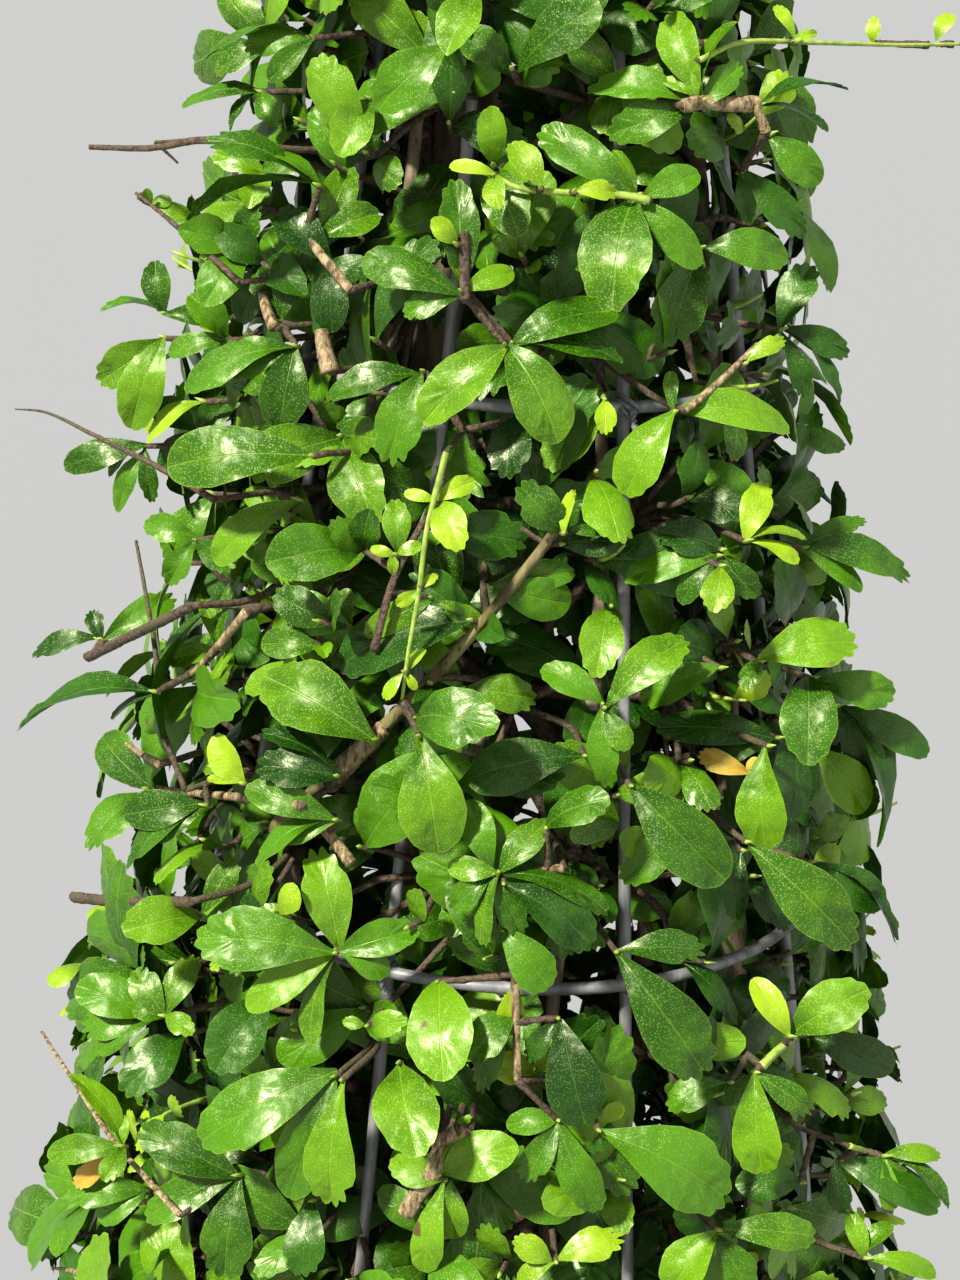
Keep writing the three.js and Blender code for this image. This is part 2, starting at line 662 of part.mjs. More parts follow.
// Turns a cell into one solid: a stem from the nearest limb, a core where the crown is dense, twigs and leaves.
function makeMass(cell, limbs, obstacles, grownLimbs) {
  const random = randomStream(2000 + 97 * cell.tier + 13 * cell.sector);
  const height = 0.5 * (tierEdge(cell.tier, 0) + tierEdge(cell.tier + 1, 0));
  const hubShare = cell.core ? 0.5 * (CORE_INNER_SHARE + CORE_OUTER_SHARE) : OPEN_HUB_SHARE;
  const hub = placed(sectorMiddle(cell, height), hubShare * frameRadius(height), height);
  const parts = [straightTwig(limbNear(cell, limbs, height - STEM_DROP), hub, STEM_RADIUS, TWIG_FOOT_RADIUS)];
  if (cell.core) parts.push(makeCore(cell, random));
  const taken = noLeavesYet();
  for (const place of rosettePlaces(cell, random)) {
    parts.push(...growTwig(cell, hub, place, obstacles, taken, random));
  }
  return largestBody(wasm.Manifold.union(parts).subtract(grownLimbs));
}

// The points and the solid of the leaves that a mass already has, starting with a speck on the axis.
function noLeavesYet() {
  return { points: [], solid: solidOf(new THREE.BoxGeometry(1, 1, 1)) };
}

function largestBody(solid) {
  return solid.decompose().sort((a, b) => b.volume() - a.volume())[0];
}

// The tip of the crown grows on one stem that stands on the trunk's end and rises through the collar.
function makeTip(obstacles, grownLimbs) {
  const cell = { tier: TIERS.length, sector: 0, sectors: 0, leaf: TIP_LEAF };
  const random = randomStream(4242);
  const foot = trunkCentre(TRUNK_TOP).setZ(TRUNK_TOP + CLEARANCE);
  const inCollar = new THREE.Vector3(0, 0, FRAME_TOP);
  const top = new THREE.Vector3(2, -1, CROWN_TOP - TIP_LEAF);
  const stemAt = (height) => {
    if (height > FRAME_TOP) return inCollar.clone().lerp(top, (height - FRAME_TOP) / (top.z - FRAME_TOP));
    return foot.clone().lerp(inCollar, (height - foot.z) / (FRAME_TOP - foot.z));
  };
  const radii = [TIP_STEM_RADIUS, 0.85 * TIP_STEM_RADIUS, 0.7 * TIP_STEM_RADIUS];
  const parts = [solidOf(limbGeometry([foot, inCollar, top], radii, LEADER_SIDES))];
  const taken = noLeavesYet();
  TIP_TWIGS.forEach(({ height, reach, leaves, firstGap }) => {
    for (let gap = firstGap; gap < UPRIGHTS; gap += 2) {
      const azimuth = uprightAzimuth(gap + 0.5);
      const root = stemAt(height);
      const node = placed(azimuth, frameRadius(height) + reach, height + TWIG_DROP);
      const twig = straightTwig(root, node, TIP_TWIG_RADIUS, TIP_TWIG_RADIUS);
      if (touches(twig, obstacles)) continue;
      const axis = outward(azimuth).addScaledVector(UP, 0.6).normalize();
      const grown = addRosette(cell, root, node, axis, leaves, obstacles, taken, random);
      if (grown.length) parts.push(twig, ...grown);
    }
  });
  const upright = new THREE.Vector3(0.05, -0.1, 1).normalize();
  parts.push(...addRosette(cell, inCollar, top, upright, LEAVES_PER_ROSETTE, obstacles, taken, random));
  return largestBody(wasm.Manifold.union(parts).subtract(grownLimbs));
}

const plant = new THREE.Group();
plant.name = "topiary";

function addNode(name, solid, material, group = plant) {
  const mesh = new THREE.Mesh(geometryOf(solid), material);
  mesh.name = name;
  group.add(mesh);
}

const pot = makePot();
const soil = makeSoil();
addNode("pot", pot, CLAY);
addNode("soil", soil, SOIL);

const frame = new THREE.Group();
plant.add(frame);
const uprights = Array.from({ length: UPRIGHTS }, (_, k) => makeUpright(k));
uprights.forEach((wire) => addNode(wire.name, wire.solid, WIRE, frame));
const rings = Array.from({ length: RINGS }, (_, k) => makeRing(k));
rings.forEach((ring, k) => addNode("wire_ring_" + (k + 1), ring, WIRE, frame));
const collar = makeCollar();
addNode("wire_collar", collar, WIRE, frame);

// Each limb is cut clear of those that carry it.
const limbs = [makeTrunk(), ...LEADERS.map(makeLeader)];
const leftLeader = limbs.find((made) => made.name === "leader_left");
const boughs = [...BOUGHS.map(makeBough), makeCrossingBough(leftLeader)];
const wood = new THREE.Group();
plant.add(wood);
const carriers = [];
for (const made of [...limbs, ...boughs]) {
  const cut = carriers.length ? made.solid.subtract(wasm.Manifold.union(carriers)) : made.solid;
  addNode(made.name, largestBody(cut), BARK, wood);
  carriers.push(made.grown(CLEARANCE));
}

const wideLimbs = [...limbs, ...boughs, ...uprights].map((made) => made.grown(LEAF_CLEARANCE));
const wideRings = rings.map((_, k) => makeRing(k, LEAF_CLEARANCE));
const grownLimbs = wasm.Manifold.union(carriers);
let obstacles = wasm.Manifold.union([...wideLimbs, ...wideRings, collar, pot, soil]);

const crown = new THREE.Group();
plant.add(crown);
TIERS.forEach(({ sectors, leaf, core }, tier) => {
  for (let sector = 0; sector < sectors; sector++) {
    const cell = { tier, sector, sectors, leaf, core };
    const mass = makeMass(cell, limbs, obstacles, grownLimbs);
    obstacles = obstacles.add(mass);
    addNode("foliage_tier_" + (tier + 1) + "_" + (sector + 1), mass, LEAF_GREEN, crown);
  }
});
addNode("foliage_tip", makeTip(obstacles, grownLimbs), LEAF_GREEN, crown);

export default plant;
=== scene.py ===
"""The looks of a cone topiary: a small-leaved shrub trained up inside a cone of grey wires, in a clay pot.

Lengths are in millimetres and turn into metres when a mesh is made. +Z is up and azimuth 0 is the front, -Y.
"""
import itertools
import math

import bpy
import numpy as np
from mathutils import Matrix, Vector


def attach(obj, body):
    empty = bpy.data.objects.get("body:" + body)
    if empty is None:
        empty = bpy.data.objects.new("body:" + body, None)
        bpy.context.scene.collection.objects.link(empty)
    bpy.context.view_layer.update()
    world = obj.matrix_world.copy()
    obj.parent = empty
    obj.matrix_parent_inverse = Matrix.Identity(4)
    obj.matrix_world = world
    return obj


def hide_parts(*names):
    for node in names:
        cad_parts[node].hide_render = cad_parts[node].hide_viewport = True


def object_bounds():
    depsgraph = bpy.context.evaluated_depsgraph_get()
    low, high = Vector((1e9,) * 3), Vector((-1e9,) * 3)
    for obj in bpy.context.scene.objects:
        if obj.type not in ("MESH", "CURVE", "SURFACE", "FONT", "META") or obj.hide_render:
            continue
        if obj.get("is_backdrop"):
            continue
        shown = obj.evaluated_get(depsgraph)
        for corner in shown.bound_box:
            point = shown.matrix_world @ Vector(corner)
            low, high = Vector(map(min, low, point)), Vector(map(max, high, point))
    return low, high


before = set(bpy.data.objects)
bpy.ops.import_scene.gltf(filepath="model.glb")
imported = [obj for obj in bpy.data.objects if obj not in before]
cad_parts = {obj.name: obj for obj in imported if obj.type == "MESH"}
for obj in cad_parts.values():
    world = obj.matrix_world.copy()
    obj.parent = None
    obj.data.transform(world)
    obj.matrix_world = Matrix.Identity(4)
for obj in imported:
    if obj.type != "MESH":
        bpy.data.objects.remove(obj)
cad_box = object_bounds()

MM = 0.001
GOLDEN_ANGLE = math.pi * (3 - math.sqrt(5))
UP = np.array([0.0, 0.0, 1.0])

# Camera: the photograph's frame, and where it was taken from
PHOTO_SIZE = np.array([960, 1280])
FOCAL_PIXELS = 2400
CAMERA_AT = np.array([-15.0, -785.0, 947.0])
CAMERA_PITCH = math.radians(18.3)
CAMERA_ROLL = math.radians(2.0)
SENSOR = 36

# Pot and potting soil
POT_HEIGHT = 272
POT_BASE_RADIUS = 128
POT_TOP_RADIUS = 181
POT_WALL = 10
POT_FLOOR = 15
RIM_RADIUS = POT_TOP_RADIUS + 6
RIM_HEIGHT = 44
RIM_FLARE = 2
LIP = 6
POT_SIDES = 120
SOIL_TOP = 239.7
SOIL_SIDES = 150
DRAIN_HOLES = 4
DRAIN_RADIUS = 6
DRAIN_CIRCLE = 74
CRUMBS = 2600

# Wire frame
WIRE_RADIUS = 2
WIRE_SIDES = 10
UPRIGHTS = 8
FIRST_UPRIGHT = math.radians(21)
APEX_HEIGHT = 1252
FRAME_TAPER = 0.155
LOWEST_RING = 247
RING_SPACING = 180
RINGS = 6
FRAME_TOP = 1207
UPRIGHT_STATIONS = 6
UPRIGHT_STEPS = 180
UPRIGHT_BEND = 1.6
COLLAR_HEIGHT = 10
COLLAR_WALL = 2.2
COLLAR_TURNS = 4
CLEARANCE = 0.3
TIE_RADIUS = 0.75
TIE_TURNS = 2.5
TIE_WIDTH = 4.6
TIE_TAIL = 7

# Trunk, leaders and boughs
GROUND = 240
TRUNK_TOP = 1150
SWAY_ENDS_AT = 1235
TRUNK_SWAY = 34
TRUNK_SIDE = math.radians(-80)
TRUNK_FOOT_RADIUS = 15
TRUNK_TIP_RADIUS = 3
ROOT_FLARE = 10
FLARE_FADES_IN = 18
TRUNK_WANDER = 3.5
LEADER_SHARE = 0.86
LEADER_SPREAD = 190
LEADER_TIP_RADIUS = 1.8
LEADER_WANDER = math.radians(6)
LEADER_WAVE = 62
LEADERS = {
    "leader_front": {"azimuth": 13, "start": 268, "end": 800, "radius": 4.6},
    "leader_right": {"azimuth": 63, "start": 292, "end": 905, "radius": 6.6},
    "leader_back_right": {"azimuth": 148, "start": 306, "end": 880, "radius": 6.2},
    "leader_back_left": {"azimuth": 212, "start": 324, "end": 860, "radius": 6},
    "leader_left": {"azimuth": 304, "start": 344, "end": 885, "radius": 5.2},
}
BOUGH_RADIUS = 4.2
BOUGH_RISE = 46
BOUGH_ARCH = 9
# Azimuth and height of each bough's foot
BOUGHS = [(98, 440), (185, 500), (36, 625), (118, 690), (160, 815), (75, 855)]
CROSSING_RADIUS = 4.4
CROSSING_TIP_RADIUS = 1.4
CROSSING_FROM = 622
CROSSING_RISE = 150
CROSSING_TURN = math.radians(74)
CROSSING_STANDS_OUT = 15
# Ridges round the bark, their wave along it and their depth as a share of the radius
BARK_FURROWS = [(3, 90, 0.05), (5, 38, 0.045), (7, 21, 0.03), (9, 11, 0.02)]
KNOT_SPACING = 26

# Crown
CROWN_FOOT = 266
CROWN_TOP = 1288
TIP_FROM = 1132
CROWN_DEPTH = 42
CROWN_LEFT_EXTRA = 15
CORE_MIDDLE_SHARE = 0.69
# From the pot upwards, with the length of each tier's usual leaf
TIERS = [
    {"sectors": 4, "first": 88, "rows": 3, "columns": 3, "leaf": 38},
    {"sectors": 4, "first": 133, "rows": 3, "columns": 3, "leaf": 38},
    {"sectors": 3, "first": 50, "rows": 3, "columns": 3, "leaf": 38},
    {"sectors": 3, "first": 110, "rows": 3, "columns": 3, "leaf": 36},
    {"sectors": 3, "first": 50, "rows": 3, "columns": 2, "leaf": 32},
]
TIP_LEAF = 26
TIER_WAVE = 8
SECTOR_WAVE = math.radians(4)
SECTOR_WAVE_LENGTH = 55
STEM_DROP = 25
SHORTEST_HOLD = 40
TWIG_DROP = 10
ROSETTE_SHARE = 0.68
DEEPEST_ROSETTE = -40
AREA_PER_SHOOT = 400
LEAVES_APART = 4.6
NEIGHBOURS = list(itertools.product((-1, 0, 1), repeat=3))
CLEAR_OF_UPRIGHT = 3.2
CLEAR_OF_POT = 5
PAST_CROWN = 4
# Each kind of stem's radius where it starts and where it ends, its sides, and how uneven its skin is
MASS_STEM = (3.4, 2.6, 7, 0)
MASS_BOUGH = (2.5, 1.3, 6, 0)
TIP_STEM = (2.6, 1.2, 7, 0)
LONG_STEM = (2.0, 0.9, 6, 0.12)
SHOOT_STEM = (1.35, 0.95, 5, 0.16)
SPRAY_STEM = (1.0, 1.3, 6, 0.12)
NEW_STEM = (1.0, 0.45, 5, 0)
FRONT_SIDES = 9
# A rosette's leaves, from the youngest to the oldest: share of the usual length, and lift along the spur
LENGTH_BY_AGE = (0.55, 1.08)
LIFT_BY_AGE = (0.95, 0.22)
# Ranges that a leaf's breadth for its length, its fold and its droop are drawn from
LEAF_BREADTH = (0.42, 0.56)
LEAF_FOLD = (-0.05, 0.5)
LEAF_DROOP = (0.02, 0.2)
LEAF_TRIES = 3
# Above what a spray's dice make it light or middling, and what each millimetre outwards adds to them: painted
# sunlight on the outer sprays and painted shade on the inner ones, over a random spread of greens
LIGHT_ABOVE = 0.86
MID_ABOVE = 0.4
LIGHTER_OUTWARDS = 0.012
NEW_SHOOT_SHARE = 0.2
NEW_LEAF = 13
# Shoots that grow far past the clipped face at the back: height, azimuth and reach
LONG_SHOOTS = [(480, 150, 46), (730, 170, 48), (1010, -140, 46)]

# Leaf: its blade's net, and the points that are tested for room as shares of length, half width and droop
LOBES = 4
LOBES_FROM = math.radians(56)
SHOULDER = math.radians(75)
LOBE_STEPS = 4
WEDGE_ROWS = [0, 0.1, 0.28, 0.52, 0.76, 1]
WEDGE_COLUMNS = [-1, -0.5, 0, 0.5, 1]
PETIOLE_SHARE = 0.07
LEAF_SAMPLES = [(1, 0, 1), (0.66, 1, 0.4), (0.66, -1, 0.4), (0.62, 0, 0.35), (0.85, 0, 0.7)]
MOST_TRIANGLES = 190000
SCAR = (0.1, 0.06, 0.02)
LEAF_SHEEN = (0.92, 1.0, 0.64, 1.0)
# Deep and light colour of each kind's blade, and the colour of its midrib, dots and rim. The dark and light
# kinds are partly the leaves' own greens and partly painted shade and painted sunlight, the dark for shaded
# leaves and the light for sunlit ones
LEAF_LOOKS = {
    "dark": ((0.004, 0.033, 0.001), (0.022, 0.097, 0.002), (0.11, 0.23, 0.03)),
    "mid": ((0.012, 0.063, 0.001), (0.06, 0.188, 0.002), (0.21, 0.37, 0.03)),
    "light": ((0.025, 0.1, 0.001), (0.113, 0.265, 0.003), (0.33, 0.49, 0.05)),
    "new": ((0.12, 0.25, 0.002), (0.27, 0.43, 0.006), (0.46, 0.58, 0.1)),
    "old": ((0.5, 0.27, 0.03), (0.62, 0.45, 0.06), (0.55, 0.5, 0.12)),
}

# Stretches of the front wires that no leaf hides: azimuth of the upright, and heights between
OPEN_UPRIGHTS = [
    (21, 699, 795),
    (21, 520, 662),
    (-24, 855, 875),
    (-24, 770, 815),
    (-24, 638, 652),
    (-24, 515, 606),
    (66, 836, 862),
    (66, 753, 820),
    (66, 500, 607),
]
# The same for rings: height, and azimuths between
OPEN_RINGS = [(607, -26, 56), (787, -42, -25), (787, 12, 32), (787, 52, 62)]
OPEN_HALF_WIDTH = 6.5
# How much higher a point is that hides a wire one millimetre behind it, from the camera
SIGHT_RISE = 0.3
# The crown's face lies between these depths before the camera
SIGHT_FROM = 450.0
SIGHT_TO = 1000.0
# How broad, in pixels of the photograph, a stem, a wire and the crossing bough are kept in sight
STEM_IN_SIGHT = 12
WIRE_IN_SIGHT = 14
BOUGH_IN_SIGHT = 16

# Sprays at the front, region by region. Each has its colour, how far it stands outside the wires, its spur's
# place in the photograph, and each leaf's tip there with the width that the leaf shows, in pixels. A dark
# colour is partly painted shade and a light one partly painted sunlight.
FRONT_SPRAYS = [
    # Top left
    ("mid", 28, (446, 44), (376, 108, 54)),
    ("light", 30, (480, -4), (440, 50, 46)),
    ("light", 30, (372, 100), (334, 156, 44)),
    ("mid", 34, (262, 92), (180, 96, 24), (228, 130, 12), (275, 130, 26)),
    ("mid", 32, (312, 38), (242, 46, 30), (204, 36, 11), (268, 80, 26)),
    ("mid", 34, (320, 186), (184, 214, 26), (262, 142, 20), (204, 134, 30)),
    ("light", 28, (318, 238), (380, 212, 38), (355, 164, 36)),
    ("mid", 26, (282, 322), (302, 242, 44), (255, 262, 30)),
    ("light", 30, (236, 312), (206, 284, 36), (244, 240, 22)),
    ("mid", 34, (166, 314), (152, 264, 32), (99, 302, 16), (232, 316, 24)),
    ("mid", 36, (240, 246), (186, 232, 40), (204, 296, 44), (256, 208, 30)),
    ("dark", 30, (262, 262), (222, 228, 36), (300, 292, 40), (238, 322, 34)),
    ("light", 38, (150, 204), (146, 192, 12), (172, 200, 14), (196, 222, 20)),
    ("dark", 26, (330, 262), (276, 210, 44), (330, 330, 40), (374, 276, 30)),
    ("mid", 34, (228, 340), (166, 346, 26), (196, 296, 34), (250, 372, 28)),
    ("light", 30, (262, 172), (212, 152, 30), (246, 200, 34), (300, 166, 30)),
    # Top centre
    ("mid", 32, (462, 296), (362, 256, 46), (402, 312, 30), (460, 176, 42), (500, 226, 20)),
    ("light", 34, (462, 292), (513, 268, 26), (448, 250, 12)),
    ("new", 36, (457, 245), (434, 222, 22)),
    ("new", 40, (494, 176), (450, 162, 17), (498, 204, 26)),
    ("new", 40, (541, 188), (512, 139, 32)),
    ("new", 40, (574, 192), (619, 190, 22)),
    ("light", 34, (636, 200), (604, 302, 76), (620, 146, 13)),
    ("mid", 34, (638, 196), (538, 128, 46), (698, 268, 36), (699, 170, 34)),
    # Top right
    ("light", 38, (700, 102), (666, 10, 42), (722, 14, 22), (680, 56, 26), (664, 76, 14)),
    ("mid", 36, (696, 108), (608, 134, 42), (744, 64, 28), (590, 74, 30)),
    ("dark", 24, (740, 172), (808, 234, 34), (752, 222, 22)),
    ("dark", 34, (758, 106), (845, 76, 14), (831, 126, 14)),
    ("mid", 42, (768, 135), (822, 181, 38)),
    ("mid", 28, (700, 248), (791, 248, 44), (670, 346, 54)),
    ("dark", 26, (780, 330), (853, 350, 30), (812, 396, 24), (846, 400, 10), (810, 262, 40)),
    ("new", 42, (876, 43), (874, 18, 16)),
    ("new", 42, (940, 44), (950, 11, 20)),
    ("new", 42, (796, 42), (818, 31, 11), (778, 2, 14)),
    # Left shoulder
    ("light", 30, (166, 338), (97, 384, 42), (123, 426, 48)),
    ("mid", 28, (296, 346), (280, 428, 50), (224, 364, 42), (180, 384, 36)),
    ("light", 34, (313, 456), (163, 465, 66)),
    ("new", 34, (206, 402), (142, 435, 20)),
    ("mid", 40, (146, 446), (60, 466, 34), (105, 472, 13), (114, 511, 22), (150, 503, 20)),
    ("mid", 26, (214, 494), (163, 560, 40), (188, 564, 28)),
    ("dark", 34, (196, 432), (150, 402, 34), (160, 470, 30), (232, 398, 30)),
    ("mid", 36, (196, 540), (142, 524, 30), (168, 586, 28), (232, 568, 34)),
    ("light", 24, (300, 500), (206, 550, 42)),
    ("mid", 22, (362, 548), (284, 558, 62), (334, 527, 34), (366, 512, 34)),
    ("mid", 20, (425, 372), (324, 396, 30), (380, 462, 52)),
    # Centre
    ("light", 28, (505, 345), (424, 425, 58), (562, 436, 66)),
    ("mid", 22, (512, 343), (614, 298, 50), (625, 360, 34)),
    ("dark", 14, (524, 418), (500, 478, 46), (530, 478, 30)),
    ("new", 32, (437, 503), (462, 548, 38), (474, 478, 22), (404, 492, 14)),
    ("new", 30, (397, 555), (421, 545, 16), (370, 548, 12), (392, 574, 12)),
    ("new", 34, (421, 586), (396, 606, 15), (438, 574, 11)),
    ("new", 34, (406, 672), (384, 700, 16), (416, 690, 10), (424, 648, 12)),
    ("light", 28, (399, 556), (394, 498, 30)),
    ("dark", 20, (436, 528), (528, 546, 54)),
    ("mid", 26, (565, 532), (517, 486, 42), (531, 521, 15), (604, 530, 13)),
    ("new", 28, (563, 534), (571, 488, 16)),
    ("mid", 12, (492, 588), (570, 608, 46), (574, 566, 30)),
    ("light", 18, (432, 598), (481, 626, 22), (362, 630, 30)),
    # Right shoulder
    ("light", 34, (674, 412), (624, 494, 56), (793, 412, 46), (672, 370, 16)),
    ("new", 40, (744, 364), (786, 338, 20)),
    ("mid", 30, (718, 556), (624, 580, 34), (678, 602, 28), (756, 600, 32)),
    ("dark", 30, (722, 550), (656, 530, 42), (800, 552, 14)),
    ("new", 36, (745, 541), (766, 480, 32), (801, 560, 17), (804, 526, 16)),
    ("new", 36, (720, 566), (715, 611, 34)),
    ("mid", 28, (802, 548), (918, 568, 40), (864, 590, 24), (868, 518, 24)),
    # Left
    ("dark", 48, (101, 640), (28, 650, 22), (92, 609, 20)),
    ("mid", 44, (104, 640), (173, 594, 32)),
    ("dark", 50, (156, 692), (12, 707, 30), (108, 716, 15)),
    ("light", 26, (218, 650), (200, 592, 18), (233, 574, 22), (166, 662, 26)),
    ("light", 26, (321, 648), (260, 643, 34), (326, 655, 20)),
    ("light", 22, (378, 740), (266, 668, 74)),
    ("dark", 28, (338, 776), (255, 764, 46), (260, 728, 24)),
    ("new", 32, (245, 784), (212, 736, 36), (206, 779, 14)),
    ("mid", 28, (338, 820), (245, 786, 36), (248, 852, 24), (283, 838, 24)),
    ("mid", 32, (208, 806), (121, 818, 42), (140, 842, 32), (122, 866, 26)),
    ("light", 32, (202, 916), (132, 930, 50), (238, 858, 28)),
    # Middle
    ("light", 34, (420, 736), (436, 852, 70)),
    ("mid", 32, (416, 718), (482, 718, 64)),
    ("light", 4, (464, 688), (538, 696, 40), (414, 640, 34)),
    ("dark", 24, (584, 756), (466, 772, 56)),
    ("mid", 30, (494, 874), (469, 800, 36), (450, 911, 30), (522, 937, 30), (613, 899, 36)),
    ("light", 30, (499, 872), (546, 818, 34), (447, 868, 26), (478, 946, 26)),
    ("dark", 32, (504, 884), (599, 940, 54)),
    ("mid", 30, (546, 828), (602, 796, 46)),
    ("mid", 28, (503, 930), (552, 986, 46)),
    ("light", 32, (604, 708), (680, 630, 48), (626, 750, 28), (622, 684, 14)),
    ("mid", 30, (602, 704), (544, 664, 36), (602, 790, 34)),
    # Right
    ("mid", 26, (720, 668), (640, 702, 42)),
    ("dark", 24, (776, 738), (656, 726, 42), (704, 758, 34)),
    ("old", 22, (748, 774), (698, 754, 24), (756, 758, 14)),
    ("light", 32, (768, 746), (758, 850, 52)),
    ("mid", 34, (630, 786), (728, 882, 66)),
    ("mid", 28, (688, 826), (622, 884, 40)),
    ("light", 34, (746, 842), (858, 952, 62)),
    ("dark", 26, (742, 850), (735, 922, 28)),
    ("mid", 32, (810, 678), (808, 751, 58), (896, 700, 40)),
    ("light", 28, (758, 662), (860, 642, 60), (742, 690, 24)),
    ("new", 36, (838, 662), (814, 648, 20)),
    ("light", 26, (816, 750), (872, 808, 46)),
    ("dark", 30, (836, 706), (931, 756, 36), (882, 784, 40), (902, 840, 11)),
    ("dark", 26, (808, 862), (890, 902, 42), (912, 926, 22), (880, 970, 34)),
    # Low left
    ("mid", 32, (336, 953), (194, 930, 66), (390, 972, 32), (419, 926, 38)),
    ("light", 30, (337, 950), (318, 846, 50), (246, 1010, 40), (304, 1044, 30)),
    ("light", 36, (166, 1016), (134, 970, 34), (190, 954, 32), (133, 1010, 20), (191, 1028, 24)),
    ("mid", 28, (160, 1016), (76, 984, 46), (78, 1022, 40), (94, 1046, 30)),
    ("dark", 26, (186, 1034), (128, 1082, 50)),
    ("dark", 24, (272, 992), (218, 1066, 58)),
    ("light", 52, (124, 1146), (44, 1150, 30), (108, 1176, 26), (122, 1116, 16), (76, 1070, 14)),
    ("old", 50, (118, 1148), (71, 1188, 22)),
    ("mid", 40, (150, 1190), (58, 1196, 32), (94, 1216, 34)),
    ("mid", 34, (336, 1076), (196, 1142, 70), (288, 1206, 54)),
    ("light", 36, (342, 1080), (326, 1210, 54)),
    ("mid", 32, (240, 1175), (140, 1214, 40), (216, 1282, 54), (138, 1126, 48)),
    ("dark", 28, (314, 1200), (302, 1268, 44)),
    # Low centre
    ("light", 24, (438, 982), (442, 1060, 68)),
    ("light", 34, (400, 1062), (408, 1142, 66)),
    ("light", 32, (440, 1174), (515, 1140, 52), (462, 1112, 18)),
    ("mid", 26, (520, 1012), (470, 1052, 42), (476, 1094, 30)),
    ("dark", 30, (558, 1018), (582, 1132, 60), (524, 1060, 24)),
    ("mid", 30, (558, 1120), (526, 1184, 32), (594, 1216, 42), (506, 1126, 28)),
    ("new", 26, (514, 984), (506, 1036, 28)),
    ("light", 30, (446, 1180), (456, 1242, 34), (422, 1276, 38), (388, 1166, 34)),
    ("new", 34, (556, 1262), (512, 1240, 28), (622, 1232, 36), (516, 1282, 22)),
    ("light", 32, (368, 1026), (402, 1022, 28), (343, 1022, 14)),
    ("mid", 38, (598, 1130), (738, 1192, 80)),
    ("mid", 36, (616, 952), (714, 1076, 68), (708, 950, 36)),
    # Low right
    ("new", 38, (788, 1036), (756, 978, 30)),
    ("light", 36, (790, 1036), (860, 986, 54)),
    ("dark", 28, (806, 1034), (868, 1050, 26), (898, 1072, 42)),
    ("light", 34, (754, 1072), (764, 1176, 52), (818, 1112, 28)),
    ("mid", 28, (730, 1082), (666, 1108, 38)),
    ("light", 44, (882, 1156), (943, 1152, 22), (906, 1182, 18), (892, 1212, 22), (952, 1204, 20)),
    ("dark", 32, (838, 1160), (944, 1204, 42), (840, 1216, 26)),
    ("light", 36, (716, 1229), (820, 1238, 40), (664, 1292, 50)),
    ("mid", 34, (718, 1232), (752, 1292, 40)),
    ("light", 40, (864, 1258), (890, 1222, 22), (940, 1268, 24), (850, 1212, 22)),
    ("dark", 26, (800, 1182), (740, 1180, 40)),
]
